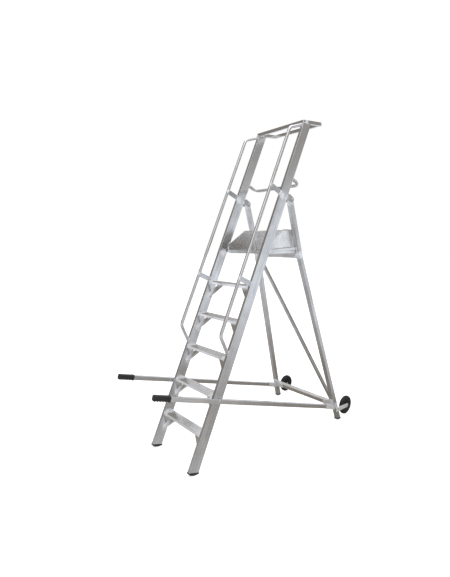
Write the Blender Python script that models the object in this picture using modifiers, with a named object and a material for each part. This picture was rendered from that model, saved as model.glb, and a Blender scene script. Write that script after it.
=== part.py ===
"""Rolling warehouse ladder: welded aluminium frame, five treads, a platform and two wheels.

Frame: +Z up, the climber faces +Y, +X is the climber's right. The origin lies on the floor,
under the middle of the ladder's overall width and length. All sizes are in metres. Heights are
measured from a datum a little above the floor, and the finished ladder is lifted to stand on it.
"""

from math import atan, atan2, cos, pi, radians, sin, tan

import bmesh
import bpy
from mathutils import Matrix, Vector

# Driving dimensions -----------------------------------------------------------------------

GAP = 0.0003                      # clearance between pieces that touch
DATUM_HEIGHT = 0.014              # of the level that heights are measured from, above the floor
GROUND = -DATUM_HEIGHT
RISE = 0.250                      # from one tread to the next, and from the last to the deck
TREAD_COUNT = 5
LEAN = radians(24.08)             # stiles, back from the vertical
FRONT_FOOT_Y = -0.7488            # front edge of the stiles, where they meet the datum level
LADDER_HALF_WIDTH = 0.260         # to the outer faces of the stiles

STILE_WIDTH = 0.025
STILE_DEPTH = 0.080               # square to the stile
STILE_WALL = 0.0025
STILE_SECTION_DEPTH = STILE_DEPTH / cos(LEAN)
STILE_X = LADDER_HALF_WIDTH - STILE_WIDTH / 2
STILE_INNER_X = LADDER_HALF_WIDTH - STILE_WIDTH
STILE_END_Z = 0.018               # front corner of the stile's cut end
STILE_END_SLOPE = radians(16.0)   # the cut end falls to the rear
FRONT_PAD_WIDTH = 0.029
FRONT_PLUG_TOP = 0.050

TREAD_DEPTH = 0.078
TREAD_HEIGHT = 0.024
TREAD_WALL = 0.0025
TREAD_RIBS = 9
RIB_HEIGHT = 0.0012
RIB_WIDTH = 0.0035
BRACE_REACH = 0.120               # along the tread and down the stile
BRACE_FACE = 0.030
BRACE_DEPTH = 0.020
BRACE_WALL = 0.003
BRACE_SETBACK = 0.053             # from the front of the stile, square to it

DECK_TOP = RISE * (TREAD_COUNT + 1)
DECK_HEIGHT = 0.022
DECK_FRONT_Y = 0.0162
DECK_DEPTH = 0.316
DECK_HALF_WIDTH = 0.2218
DECK_TONGUE_DEPTH = 0.054         # rear part of the deck, over its bearer
DECK_TONGUE_HALF_WIDTH = 0.200
DECK_WALL = 0.003
TOE_BOARD_HEIGHT = 0.168
TOE_BOARD_FRONT_HEIGHT = 0.053
TOE_BOARD_SLOPE_DEPTH = 0.177
TOE_BOARD_THICKNESS = 0.003
TOE_BOARD_CORNER = 0.008
TOE_BOARD_REAR_Y = 0.3135          # at the top
TOE_BOARD_LEAN = 0.185            # of its rear, backward for each metre down
SIDE_BAR_SIZE = 0.024
SIDE_BAR_WIDTH = 0.020
SIDE_BAR_RISE = 0.023             # from the stile to the rear leg

LEG_SIZE = 0.038
LEG_WALL = 0.003
LEG_TOP_X = 0.245
LEG_FOOT_X = 0.3625
LEG_FOOT_Y = 0.7995
LEG_SLOPE = 0.2981                # forward, for each metre up
LEG_BEND_Z = 1.4417               # the legs splay below this height
PIVOT_Z = 1.8951
LEG_END_ABOVE_PIVOT = 0.020
REAR_PAD_HEIGHT = 0.014
CROSS_TUBE_Z = 0.1296
GUSSET_LENGTH = 0.108
GUSSET_HEIGHT = 0.055             # above the middle of the cross tube
GUSSET_THICKNESS = 0.004
DIAGONAL_SIZE = 0.025
DIAGONAL_WALL = 0.002
DIAGONAL_ENDS = ((0.345, 0.130), (-0.225, 1.445))   # x and z of the line through the tube

BRACKET_PLATE = 0.005
BRACKET_LENGTH = 0.050
BRACKET_EAR_RADIUS = 0.021
PIVOT_BOLT_RADIUS = 0.006

TRAY_FRONT_Z = 2.490              # underside of the tray frame at its front edge
TRAY_TILT = radians(5.0)
TRAY_DEPTH = 0.235
TRAY_BAR = 0.025
TRAY_WALL = 0.002
TRAY_CORNER = 0.010

ROUND_TUBE_RADIUS = 0.0125
ROUND_TUBE_WALL = 0.002
HOOP_Z = 2.055                    # where the hoop leaves the back of the stiles
HOOP_REACH = 0.095
HOOP_CORNER = 0.055
HANDRAIL_OFFSET = 0.111           # from the front of the stile to the middle of the handrail
HANDRAIL_BEND_RADIUS = 0.055
HANDRAIL_LOW_END = 0.855          # these four run along the stile, from the floor
HANDRAIL_LOW_BEND = 0.9536
HANDRAIL_TOP_BEND = 2.617
HANDRAIL_TOP_END = 2.714
SPACER_PLACES = {"lower": 1.388, "upper": 2.130}
SPACER_LENGTH = 0.038
SPACER_THICKNESS = 0.005

RAIL_SIZE = 0.032
RAIL_WALL = 0.002
RAIL_TIP = Vector((0.2495, -0.9962, 0.6118))
RAIL_FALL = 0.289                 # for each metre back
RAIL_SPREAD = 0.0594              # outward, for each metre back
GRIP_SIZE = 0.042
GRIP_LENGTH = 0.114
GRIP_END = 0.006
RAIL_BOLT_RADIUS = 0.004
RAIL_BOLT_SETBACK = 0.034         # behind the front of the stile
RAIL_END_Y = 0.665
CLIP_PLATE = 0.004
CLIP_LENGTH = 0.034               # of each cheek beside the rail
CLIP_HEIGHT = 0.036

WHEEL_RADIUS = 0.083
WHEEL_WIDTH = 0.030
WHEEL_X = 0.3600
WHEEL_Y = 0.919
WHEEL_Z = 0.084                   # the wheels clear the floor until the ladder is tipped
HUB_RADIUS = 0.048
AXLE_RADIUS = 0.006
ARM_HEIGHT = 0.035
ARM_THICKNESS = 0.006
ARM_EDGE = 0.002                  # of the arm left round the wedge behind it

MILL_FINISH = ((0.58, 0.59, 0.62), 1.0, 0.38)
BRIGHT_TUBE = ((0.70, 0.71, 0.72), 1.0, 0.25)
STEEL = ((0.45, 0.45, 0.46), 1.0, 0.35)
BLACK_RUBBER = ((0.020, 0.020, 0.022), 0.0, 0.65)

SIDES = {"left": -1, "right": 1}

# Frames and lines of the ladder ------------------------------------------------------------

ALONG_STILE = Vector((0, sin(LEAN), cos(LEAN)))
BEHIND_STILE = Vector((0, cos(LEAN), -sin(LEAN)))
ALONG_TRAY = Vector((0, cos(TRAY_TILT), sin(TRAY_TILT)))
ABOVE_TRAY = Vector((0, -sin(TRAY_TILT), cos(TRAY_TILT)))
ACROSS = Vector((1, 0, 0))


def stile_front_y(z):
    return FRONT_FOOT_Y + z * tan(LEAN)


def on_stile(x, along, behind):
    """A point by its distance up the stile and its distance behind the stile's front face."""
    return Vector((x, FRONT_FOOT_Y, 0)) + along * ALONG_STILE + behind * BEHIND_STILE


def leg_centre(side, z):
    splay = (LEG_FOOT_X - LEG_TOP_X) / LEG_BEND_Z
    x = LEG_TOP_X + splay * max(LEG_BEND_Z - z, 0)
    return Vector((side * x, LEG_FOOT_Y - LEG_SLOPE * z, z))


def rail_point(side, y):
    back = y - RAIL_TIP.y
    return Vector((side * (RAIL_TIP.x + RAIL_SPREAD * back), y, RAIL_TIP.z - RAIL_FALL * back))


def axes_matrix(x_axis, y_axis, origin):
    z_axis = x_axis.cross(y_axis)
    return Matrix.Translation(origin) @ Matrix((x_axis, y_axis, z_axis)).transposed().to_4x4()


def bar_matrix(start, end, side_hint=ACROSS):
    """Local Z runs from start to end and local X stays as near as it can to side_hint."""
    along = (end - start).normalized()
    across = (side_hint - side_hint.dot(along) * along).normalized()
    return axes_matrix(across, along.cross(across), (start + end) / 2)


# Modelling helpers -------------------------------------------------------------------------


def clear_scene():
    for old in list(bpy.data.objects):
        bpy.data.objects.remove(old, do_unlink=True)


def new_collection(name):
    collection = bpy.data.collections.new(name)
    bpy.context.scene.collection.children.link(collection)
    return collection


def own_material(name, finish):
    colour, metallic, roughness = finish
    material = bpy.data.materials.new(name)
    material.use_nodes = True
    shader = material.node_tree.nodes["Principled BSDF"]
    shader.inputs["Base Color"].default_value = (*colour, 1)
    shader.inputs["Metallic"].default_value = metallic
    shader.inputs["Roughness"].default_value = roughness
    return material


def link_part(obj, finish):
    PARTS.objects.link(obj)
    obj.data.materials.clear()
    obj.data.materials.append(own_material(obj.name + "_finish", finish))
    obj.data.shade_smooth()
    obj.data.set_sharp_from_angle(angle=radians(35))
    return obj


def link_cutter(obj):
    CUTTERS.objects.link(obj)
    obj.hide_render = True
    obj.display_type = "WIRE"
    return obj


def rectangle(width, depth, radius, steps=3):
    """A rectangle's outline, counterclockwise, with its corners rounded by arcs."""
    if radius == 0:
        return [(x, y) for x, y in ((width / 2, depth / 2), (-width / 2, depth / 2),
                                    (-width / 2, -depth / 2), (width / 2, -depth / 2))]
    points = []
    for quarter, (x_sign, y_sign) in enumerate(((1, 1), (-1, 1), (-1, -1), (1, -1))):
        centre = (x_sign * (width / 2 - radius), y_sign * (depth / 2 - radius))
        for step in range(steps + 1):
            angle = quarter * pi / 2 + step * pi / 2 / steps
            points.append((centre[0] + radius * cos(angle), centre[1] + radius * sin(angle)))
    return points


def arc(centre, radius, start, end, steps):
    angles = [start + (end - start) * step / steps for step in range(steps + 1)]
    return [(centre[0] + radius * cos(a), centre[1] + radius * sin(a)) for a in angles]


def extruded(name, outlines, thickness, matrix):
    """Flat outlines, the later ones being holes, given a thickness along local Z."""
    curve = bpy.data.curves.new(name + "_outline", "CURVE")
    curve.dimensions = "2D"
    curve.fill_mode = "BOTH"
    curve.extrude = thickness / 2
    for outline in outlines:
        spline = curve.splines.new("POLY")
        spline.points.add(len(outline) - 1)
        for point, (x, y) in zip(spline.points, outline):
            point.co = (x, y, 0, 1)
        spline.use_cyclic_u = True
    return mesh_from_curve(name, curve, matrix)


def mesh_from_curve(name, curve, matrix):
    """The curve's surface as a mesh object with its end caps welded on."""
    drawn = bpy.data.objects.new(name + "_curve", curve)
    bpy.context.scene.collection.objects.link(drawn)
    depsgraph = bpy.context.evaluated_depsgraph_get()
    mesh = bpy.data.meshes.new_from_object(drawn.evaluated_get(depsgraph))
    bpy.data.objects.remove(drawn, do_unlink=True)
    mesh.name = name
    shape = bmesh.new()
    shape.from_mesh(mesh)
    bmesh.ops.remove_doubles(shape, verts=shape.verts, dist=0.00001)
    bmesh.ops.recalc_face_normals(shape, faces=shape.faces)
    shape.to_mesh(mesh)
    shape.free()
    obj = bpy.data.objects.new(name, mesh)
    obj.matrix_world = matrix
    return obj


def block(name, size, matrix, bevel=0.0):
    shape = bmesh.new()
    bmesh.ops.create_cube(shape, size=1)
    bmesh.ops.scale(shape, vec=size, verts=shape.verts)
    mesh = bpy.data.meshes.new(name)
    shape.to_mesh(mesh)
    shape.free()
    obj = bpy.data.objects.new(name, mesh)
    obj.matrix_world = matrix
    if bevel:
        rounding = obj.modifiers.new("rounding", "BEVEL")
        rounding.width = bevel
        rounding.segments = 2
    return obj


def square_tube(name, width, depth, wall, start, end, side_hint=ACROSS):
    """A straight box section from start to end; wall 0 makes it solid."""
    outlines = [rectangle(width, depth, 0.0025)]
    if wall:
        outlines.append(rectangle(width - 2 * wall, depth - 2 * wall, 0))
    return extruded(name, outlines, (end - start).length, bar_matrix(start, end, side_hint))


def solid_bar(name, width, depth, start, end, side_hint=ACROSS):
    return block(name, (width, depth, (end - start).length), bar_matrix(start, end, side_hint))


def leaning_tube(name, outlines, centres):
    """Horizontal outlines carried up through the centres, so both ends are cut level."""
    low = centres[0].z
    high = centres[-1].z
    place = Matrix.Translation((0, 0, (low + high) / 2))
    obj = extruded(name, outlines, high - low, Matrix.Identity(4))
    shape = bmesh.new()
    shape.from_mesh(obj.data)
    bmesh.ops.transform(shape, matrix=place, verts=shape.verts)
    for centre in centres[1:-1]:
        everything = shape.verts[:] + shape.edges[:] + shape.faces[:]
        bmesh.ops.bisect_plane(shape, geom=everything, dist=0.00001,
                               plane_co=(0, 0, centre.z), plane_no=(0, 0, 1))
    for vertex in shape.verts:
        vertex.co += shift_at(centres, vertex.co.z)
    shape.to_mesh(obj.data)
    shape.free()
    return obj


def shift_at(centres, z):
    for below, above in zip(centres, centres[1:]):
        if z <= above.z + 0.00001:
            share = (z - below.z) / (above.z - below.z)
            centre = below.lerp(above, share)
            return Vector((centre.x, centre.y, 0))
    raise ValueError("height outside the centres")


def round_tube(name, points, radius, sides_setting=3):
    curve = bpy.data.curves.new(name + "_path", "CURVE")
    curve.dimensions = "3D"
    curve.bevel_depth = radius
    curve.bevel_resolution = sides_setting
    curve.use_fill_caps = True
    spline = curve.splines.new("POLY")
    spline.points.add(len(points) - 1)
    for target, point in zip(spline.points, points):
        target.co = (*point, 1)
    return mesh_from_curve(name, curve, Matrix.Identity(4))


def bent_path(corners, radius, steps=5):
    """A path through the corners with each inner corner turned on an arc of the radius."""
    path = [corners[0]]
    for before, corner, after in zip(corners, corners[1:], corners[2:]):
        back = (before - corner).normalized()
        ahead = (after - corner).normalized()
        half_angle = back.angle(ahead) / 2
        middle = corner + (back + ahead).normalized() * radius / sin(half_angle)
        start = corner + back * radius / tan(half_angle)
        swept = pi - 2 * half_angle
        turn = back.cross(start - middle).normalized()
        for step in range(steps + 1):
            spoke = Matrix.Rotation(swept * step / steps, 3, turn) @ (start - middle)
            path.append(middle + spoke)
    path.append(corners[-1])
    return path


def turned(name, profile, centre, steps=24, closed=False):
    """A profile of (radius, distance) points turned round an X axis through the centre."""
    mesh = bpy.data.meshes.new(name)
    shape = bmesh.new()
    ring = [shape.verts.new((radius, 0, distance)) for radius, distance in profile]
    for start, end in zip(ring, ring[1:]):
        shape.edges.new((start, end))
    if closed:
        shape.edges.new((ring[-1], ring[0]))
    shape.to_mesh(mesh)
    shape.free()
    obj = bpy.data.objects.new(name, mesh)
    obj.matrix_world = Matrix.Translation(centre) @ Matrix.Rotation(pi / 2, 4, "Y")
    screw = obj.modifiers.new("turn", "SCREW")
    screw.steps = steps
    screw.render_steps = steps
    screw.use_merge_vertices = True
    screw.merge_threshold = 0.0001
    return obj


def cylinder(name, radius, length, matrix, segments=24):
    shape = bmesh.new()
    bmesh.ops.create_cone(shape, cap_ends=True, segments=segments, radius1=radius,
                          radius2=radius, depth=length)
    mesh = bpy.data.meshes.new(name)
    shape.to_mesh(mesh)
    shape.free()
    obj = bpy.data.objects.new(name, mesh)
    obj.matrix_world = matrix
    return obj


def cylinder_across(name, radius, length, centre):
    return cylinder(name, radius, length,
                    Matrix.Translation(centre) @ Matrix.Rotation(pi / 2, 4, "Y"))


def shape_with(obj, tool, operation="DIFFERENCE"):
    link_cutter(tool)
    change = obj.modifiers.new(operation.lower(), "BOOLEAN")
    change.operation = operation
    change.solver = "EXACT"
    change.object = tool


def bolt_profile(length, radius, head_radius, head_height):
    """Head, shank and nut of a bolt as one turned outline, centred on the shank."""
    half = length / 2
    end = half + head_height
    return [(0, end), (head_radius * 0.8, end), (head_radius, end - head_height * 0.35),
            (head_radius, half), (radius, half), (radius, -half), (head_radius, -half),
            (head_radius, -end), (0, -end)]


# Solids that neighbours are cut by ---------------------------------------------------------


def stile_outline(grow):
    return rectangle(STILE_WIDTH + 2 * grow, STILE_SECTION_DEPTH + 2 * grow, 0.003)


def stile_centres(side, low, high):
    middle = STILE_SECTION_DEPTH / 2
    return [Vector((side * STILE_X, stile_front_y(z) + middle, z)) for z in (low, high)]


def stile_cutter(side, name):
    return leaning_tube(name, [stile_outline(GAP)], stile_centres(side, GROUND - 0.1, 2.7))


def leg_outline(grow):
    slant = cos(atan(LEG_SLOPE))
    return rectangle(LEG_SIZE + 2 * grow, LEG_SIZE / slant + 2 * grow, 0.003)


def leg_cutter(side, name):
    heights = (GROUND - 0.1, LEG_BEND_Z, PIVOT_Z + 0.1)
    return leaning_tube(name, [leg_outline(GAP)], [leg_centre(side, z) for z in heights])


# Front frame ------------------------------------------------------------------------------


def add_stile(word, side):
    outer = stile_outline(0)
    hollow = rectangle(STILE_WIDTH - 2 * STILE_WALL,
                       STILE_SECTION_DEPTH - 2 * STILE_WALL / cos(LEAN), 0)
    stile = leaning_tube("stile_" + word, [outer, hollow], stile_centres(side, GROUND - 0.05, 2.6))
    below = stile_end(side * STILE_X) @ Matrix.Translation((0, 0, -0.1))
    shape_with(stile, block("cut_stile_end_" + word, (0.1, 0.4, 0.2), below))
    tray_space = Matrix.Translation(tray_origin() + 0.1 * ALONG_TRAY + 0.1 * ABOVE_TRAY)
    slab = block("cut_stile_top_" + word, (0.6, 0.6, 0.2 + 2 * GAP),
                 tray_space @ Matrix.Rotation(TRAY_TILT, 4, "X"))
    shape_with(stile, slab)
    bolt_place = rail_bolt_centre(side)
    bolt_place.x = side * LADDER_HALF_WIDTH
    hole = cylinder_across("cut_stile_bolt_" + word, RAIL_BOLT_RADIUS + GAP, STILE_WIDTH / 2,
                           bolt_place)
    shape_with(stile, hole)
    link_part(stile, MILL_FINISH)


def stile_end(x):
    """Local XY lies on the cut end of the stile, with its origin on the front edge."""
    place = Matrix.Translation((x, stile_front_y(STILE_END_Z), STILE_END_Z))
    return place @ Matrix.Rotation(-STILE_END_SLOPE, 4, "X")


def add_front_foot(word, side):
    """A cap with a convex sole, flat where it stands, and a plug inside the stile."""
    front_y = stile_front_y(STILE_END_Z)
    slope = tan(STILE_END_SLOPE)
    sole = [(-0.002, 0.010), (0.001, 0.004), (0.010, -0.002), (0.024, -0.008), (0.038, -0.0125),
            (0.050, GROUND), (0.074, GROUND), (0.078, -0.0125), (0.0796, -0.0095)]
    outline = [(front_y + 0.0796, STILE_END_Z - 0.0796 * slope - GAP),
               (front_y - 0.002, STILE_END_Z + 0.002 * slope - GAP)]
    outline += [(front_y + back, z) for back, z in sole]
    place = axes_matrix(Vector((0, 1, 0)), Vector((0, 0, 1)), Vector((side * STILE_X, 0, 0)))
    foot = extruded("stile_foot_" + word, [outline], FRONT_PAD_WIDTH, place)
    shape_with(foot, front_plug(word, place), "UNION")
    link_part(foot, BLACK_RUBBER)


def front_plug(word, place):
    """Follows the inside of the stile's front and rear walls."""
    inset = (STILE_WALL + 0.0005) / cos(LEAN)
    lower = STILE_END_Z - 0.003
    slope = tan(STILE_END_SLOPE)
    corners = []
    for depth in (inset, STILE_SECTION_DEPTH - inset):
        z = lower - depth * slope / (1 + slope * tan(LEAN))
        corners.append((stile_front_y(z) + depth, z))
    top_y = stile_front_y(FRONT_PLUG_TOP)
    outline = [*corners, (top_y + STILE_SECTION_DEPTH - inset, FRONT_PLUG_TOP),
               (top_y + inset, FRONT_PLUG_TOP)]
    width = STILE_WIDTH - 2 * STILE_WALL - 0.001
    return extruded("join_front_plug_" + word, [outline], width, place)


def tread_outline():
    """Front edge first, then along the top with its ribs, then round the underside."""
    half = TREAD_DEPTH / 2
    top = TREAD_HEIGHT / 2
    valley = top - RIB_HEIGHT
    pitch = (TREAD_DEPTH - 0.010) / TREAD_RIBS
    points = arc((-half + 0.004, -top + 0.004), 0.004, 1.5 * pi, pi, 3)
    points += arc((-half + 0.003, valley - 0.003), 0.003, pi, pi / 2, 3)
    for rib in range(TREAD_RIBS):
        middle = -half + 0.005 + pitch * (rib + 0.5)
        points += [(middle - RIB_WIDTH / 2, valley), (middle - RIB_WIDTH / 4, top),
                   (middle + RIB_WIDTH / 4, top), (middle + RIB_WIDTH / 2, valley)]
    points += arc((half - 0.003, valley - 0.003), 0.003, pi / 2, 0, 3)
    points += arc((half - 0.004, -top + 0.004), 0.004, 0, -pi / 2, 3)
    return points


def tread_hollows():
    """Two chambers with a web between them."""
    chamber = (TREAD_DEPTH - 3 * TREAD_WALL) / 2
    height = TREAD_HEIGHT - RIB_HEIGHT - 2 * TREAD_WALL
    hollows = []
    for sign in (-1, 1):
        shift = sign * (chamber + TREAD_WALL) / 2
        outline = rectangle(chamber, height, 0)
        hollows.append([(x + shift, y - RIB_HEIGHT / 2) for x, y in outline])
    return hollows


def add_tread(number):
    top = number * RISE
    centre = Vector((0, stile_front_y(top) + TREAD_DEPTH / 2, top - TREAD_HEIGHT / 2))
    matrix = axes_matrix(Vector((0, 1, 0)), Vector((0, 0, 1)), centre)
    tread = extruded("tread_%d" % number, [tread_outline(), *tread_hollows()],
                     2 * (STILE_INNER_X - GAP), matrix)
    link_part(tread, MILL_FINISH)


def add_tread_brace(number, word, side):
    """A channel at 45 degrees, open to the rear, between a tread and a stile."""
    underside = number * RISE - TREAD_HEIGHT - GAP
    wall_x = STILE_INNER_X - GAP
    spare = 0.020
    face = BRACE_FACE * 2 ** 0.5
    name = "tread_brace_%d_%s" % (number, word)
    origin = on_stile(0, underside / cos(LEAN), BRACE_SETBACK + BRACE_DEPTH / 2)
    origin.z += (BRACE_SETBACK + BRACE_DEPTH / 2) * sin(LEAN)
    origin += (underside - origin.z) / cos(LEAN) * ALONG_STILE

    def band(reach, width, ahead):
        return [(side * (wall_x + ahead), -reach - ahead), (side * (wall_x - reach - spare), spare),
                (side * (wall_x - reach + width - spare), spare),
                (side * (wall_x + ahead), -reach + width - ahead)]

    place = axes_matrix(ACROSS, ALONG_STILE, origin)
    brace = extruded(name, [band(BRACE_REACH, face, 0)], BRACE_DEPTH, place)
    inset = BRACE_WALL * 2 ** 0.5
    shift = Matrix.Translation(BRACE_WALL * BEHIND_STILE)
    channel = extruded("cut_channel_" + name, [band(BRACE_REACH - inset, face - 2 * inset, 0.010)],
                       BRACE_DEPTH, shift @ place)
    shape_with(brace, channel)
    above = block("cut_top_" + name, (0.4, 0.3, 0.1),
                  Matrix.Translation((side * 0.2, origin.y, underside + 0.05)))
    shape_with(brace, above)
    link_part(brace, MILL_FINISH)


# Platform -----------------------------------------------------------------------------------


def add_deck():
    """A tray-shaped deck: flat top, a skirt all round, and a tongue that lies on the bearer."""
    rear = DECK_FRONT_Y + DECK_DEPTH
    tongue = rear + DECK_TONGUE_DEPTH

    def outline(inset):
        wide = DECK_HALF_WIDTH - inset
        narrow = DECK_TONGUE_HALF_WIDTH - inset
        front = DECK_FRONT_Y + inset
        return [(-wide, front), (wide, front), (wide, rear - inset), (narrow, rear - inset),
                (narrow, tongue - inset), (-narrow, tongue - inset), (-narrow, rear - inset),
                (-wide, rear - inset)]

    middle = Matrix.Translation((0, 0, DECK_TOP - DECK_HEIGHT / 2))
    deck = extruded("platform_deck", [outline(0)], DECK_HEIGHT, middle)
    pocket = extruded("cut_deck_pocket", [outline(DECK_WALL)], DECK_HEIGHT,
                      Matrix.Translation((0, 0, -DECK_WALL)) @ middle)
    shape_with(deck, pocket)
    link_part(deck, MILL_FINISH)


def toe_board_outline(inset):
    """Half of the board's plan on each side, from the front edge round the rear corners."""
    half = DECK_HALF_WIDTH + GAP + TOE_BOARD_THICKNESS - inset
    rear = TOE_BOARD_REAR_Y - inset
    radius = TOE_BOARD_CORNER - inset
    corner = arc((half - radius, rear - radius), radius, 0, pi / 2, 6)
    right = [(half, DECK_FRONT_Y - 0.005), *corner]
    return right + [(-x, y) for x, y in reversed(right)]


def add_toe_board():
    """One sheet bent round three sides of the deck, standing on the deck at the rear."""
    low = DECK_TOP - DECK_HEIGHT
    top = DECK_TOP + TOE_BOARD_HEIGHT
    outline = toe_board_outline(0) + toe_board_outline(TOE_BOARD_THICKNESS)[::-1]
    middle = Matrix.Translation((0, 0, (low + top) / 2))
    board = extruded("toe_board", [outline], top - low, middle)
    for vertex in board.data.vertices:
        if vertex.co.y > TOE_BOARD_REAR_Y / 2:
            vertex.co.y += TOE_BOARD_LEAN * ((top - low) / 2 - vertex.co.z)
    front = DECK_FRONT_Y - 0.005
    slope_end = front + TOE_BOARD_SLOPE_DEPTH
    shoulder = DECK_TOP + TOE_BOARD_FRONT_HEIGHT
    rate = (top - shoulder) / TOE_BOARD_SLOPE_DEPTH
    above = [(front - 0.02, shoulder - 0.02 * rate), (slope_end + 0.02, top + 0.02 * rate),
             (front - 0.02, top + 0.02 * rate)]
    matrix = axes_matrix(Vector((0, 1, 0)), Vector((0, 0, 1)), Vector((0, 0, 0)))
    shape_with(board, extruded("cut_toe_board_slope", [above], 1.0, matrix))
    notch_half = DECK_TONGUE_HALF_WIDTH + 0.005
    notch = block("cut_toe_board_notch", (2 * notch_half, 0.100, 0.1),
                  Matrix.Translation((0, TOE_BOARD_REAR_Y + 0.035, DECK_TOP + GAP - 0.05)))
    shape_with(board, notch)
    link_part(board, MILL_FINISH)


def add_side_bar(word, side):
    """Ties a stile to the rear leg beside the deck."""
    x = side * (DECK_HALF_WIDTH + TOE_BOARD_THICKNESS + 4 * GAP + SIDE_BAR_WIDTH / 2)
    front_z = DECK_TOP - 0.002
    start = Vector((x, stile_front_y(front_z) + STILE_SECTION_DEPTH - 0.010, front_z))
    end = Vector((x, leg_centre(side, DECK_TOP).y, front_z + SIDE_BAR_RISE))
    bar = square_tube("platform_side_bar_" + word, SIDE_BAR_WIDTH, SIDE_BAR_SIZE, RAIL_WALL,
                      start, end)
    shape_with(bar, stile_cutter(side, "cut_side_bar_front_" + word))
    shape_with(bar, leg_cutter(side, "cut_side_bar_rear_" + word))
    link_part(bar, MILL_FINISH)


def add_bearer():
    z = DECK_TOP - DECK_HEIGHT - GAP - LEG_SIZE / 2
    end = Vector((LEG_TOP_X - LEG_SIZE / 2 - GAP, leg_centre(1, z).y, z))
    start = Vector((-end.x, end.y, z))
    bearer = square_tube("platform_bearer", LEG_SIZE, LEG_SIZE, LEG_WALL, start, end,
                         Vector((0, 1, 0)))
    link_part(bearer, MILL_FINISH)


# Rear frame ----------------------------------------------------------------------------------


def add_leg(word, side):
    hollow_size = LEG_SIZE - 2 * LEG_WALL
    hollow = rectangle(hollow_size, hollow_size / cos(atan(LEG_SLOPE)), 0)
    heights = (GROUND + REAR_PAD_HEIGHT + GAP, LEG_BEND_Z, PIVOT_Z + LEG_END_ABOVE_PIVOT)
    leg = leaning_tube("rear_leg_" + word, [leg_outline(0), hollow],
                       [leg_centre(side, z) for z in heights])
    hole = cylinder_across("cut_leg_pivot_" + word, PIVOT_BOLT_RADIUS + GAP, 0.06,
                           leg_centre(side, PIVOT_Z))
    shape_with(leg, hole)
    link_part(leg, MILL_FINISH)


def add_rear_foot(word, side):
    centre = leg_centre(side, GROUND + REAR_PAD_HEIGHT / 2)
    foot = block("rear_foot_" + word, (0.042, 0.044, REAR_PAD_HEIGHT),
                 Matrix.Translation(centre), 0.004)
    size = LEG_SIZE - 2 * LEG_WALL - 0.001
    plug = leaning_tube("join_rear_plug_" + word, [rectangle(size, size, 0.002)],
                        [leg_centre(side, z) for z in (centre.z, centre.z + 0.040)])
    shape_with(foot, plug, "UNION")
    link_part(foot, BLACK_RUBBER)


def cross_tube(name, grow, wall):
    hint = Vector((0, 1, LEG_SLOPE))
    return square_tube(name, LEG_SIZE + 2 * grow, LEG_SIZE + 2 * grow, wall,
                       leg_centre(-1, CROSS_TUBE_Z), leg_centre(1, CROSS_TUBE_Z), hint)


def add_cross_tube():
    tube = cross_tube("rear_cross_tube", 0, LEG_WALL)
    for word, side in SIDES.items():
        shape_with(tube, leg_cutter(side, "cut_cross_tube_" + word))
    link_part(tube, MILL_FINISH)


def leg_face(side, z, ahead):
    """A frame on a plane in front of the leg: local X across, local Y up the leg."""
    up = Vector((0, -LEG_SLOPE, 1)).normalized()
    front = ACROSS.cross(up)
    return axes_matrix(ACROSS, up, leg_centre(side, z) + (LEG_SIZE / 2 + ahead) * front)


def add_gusset(word, side):
    """A plate over the front of the joint between the cross tube and the leg."""
    low = -LEG_SIZE / 2
    outline = [(side * 0.006, low), (side * 0.006, GUSSET_HEIGHT),
               (-side * 0.022, GUSSET_HEIGHT), (-side * GUSSET_LENGTH, 0.010),
               (-side * GUSSET_LENGTH, low)]
    gusset = extruded("rear_gusset_" + word, [outline], GUSSET_THICKNESS,
                      leg_face(side, CROSS_TUBE_Z, GAP + GUSSET_THICKNESS / 2))
    link_part(gusset, MILL_FINISH)


def add_diagonal():
    """From the left leg, under the deck, down to the right end of the cross tube."""
    (low_x, low_z), (high_x, high_z) = DIAGONAL_ENDS
    start = Vector((low_x, leg_centre(1, low_z).y, low_z))
    end = Vector((high_x, leg_centre(1, high_z).y, high_z))
    diagonal = square_tube("rear_diagonal", DIAGONAL_SIZE, DIAGONAL_SIZE, DIAGONAL_WALL,
                           start, end)
    shape_with(diagonal, cross_tube("cut_diagonal_tube", GAP, 0))
    for word, side in SIDES.items():
        shape_with(diagonal, leg_cutter(side, "cut_diagonal_leg_" + word))
    underside = DECK_TOP - DECK_HEIGHT - LEG_SIZE - 2 * GAP
    above = block("cut_diagonal_top", (0.3, 0.3, 0.1),
                  Matrix.Translation((high_x, end.y, underside + 0.05)))
    shape_with(diagonal, above)
    link_part(diagonal, MILL_FINISH)


def add_pivot_bracket(word, side):
    """A clevis on the back of the stile that holds the top of the rear leg."""
    pivot = leg_centre(side, PIVOT_Z)
    offset = (pivot - Vector((0, FRONT_FOOT_Y, 0))).dot(BEHIND_STILE) - STILE_DEPTH
    inner = LEG_SIZE / 2 + 2 * GAP
    outer = inner + BRACKET_PLATE
    back = offset + BRACKET_EAR_RADIUS + 0.001
    outline = [(-outer, GAP), (outer, GAP), (outer, back), (inner, back),
               (inner, BRACKET_PLATE), (-inner, BRACKET_PLATE), (-inner, back), (-outer, back)]
    base = pivot - offset * BEHIND_STILE
    bracket = extruded("pivot_bracket_" + word, [outline], BRACKET_LENGTH,
                       axes_matrix(ACROSS, BEHIND_STILE, base))
    half = BRACKET_LENGTH / 2
    ears = arc((offset, 0), BRACKET_EAR_RADIUS, -pi / 2, pi / 2, 10)
    side_view = [(0, half), (0, -half), (0.012, -half), *ears, (0.012, half)]
    shape_with(bracket, extruded("cut_bracket_ears_" + word, [side_view], 0.1,
                                 axes_matrix(BEHIND_STILE, ALONG_STILE, base)), "INTERSECT")
    hole = cylinder_across("cut_bracket_" + word, PIVOT_BOLT_RADIUS + GAP, 0.08, pivot)
    shape_with(bracket, hole)
    link_part(bracket, MILL_FINISH)


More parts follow.
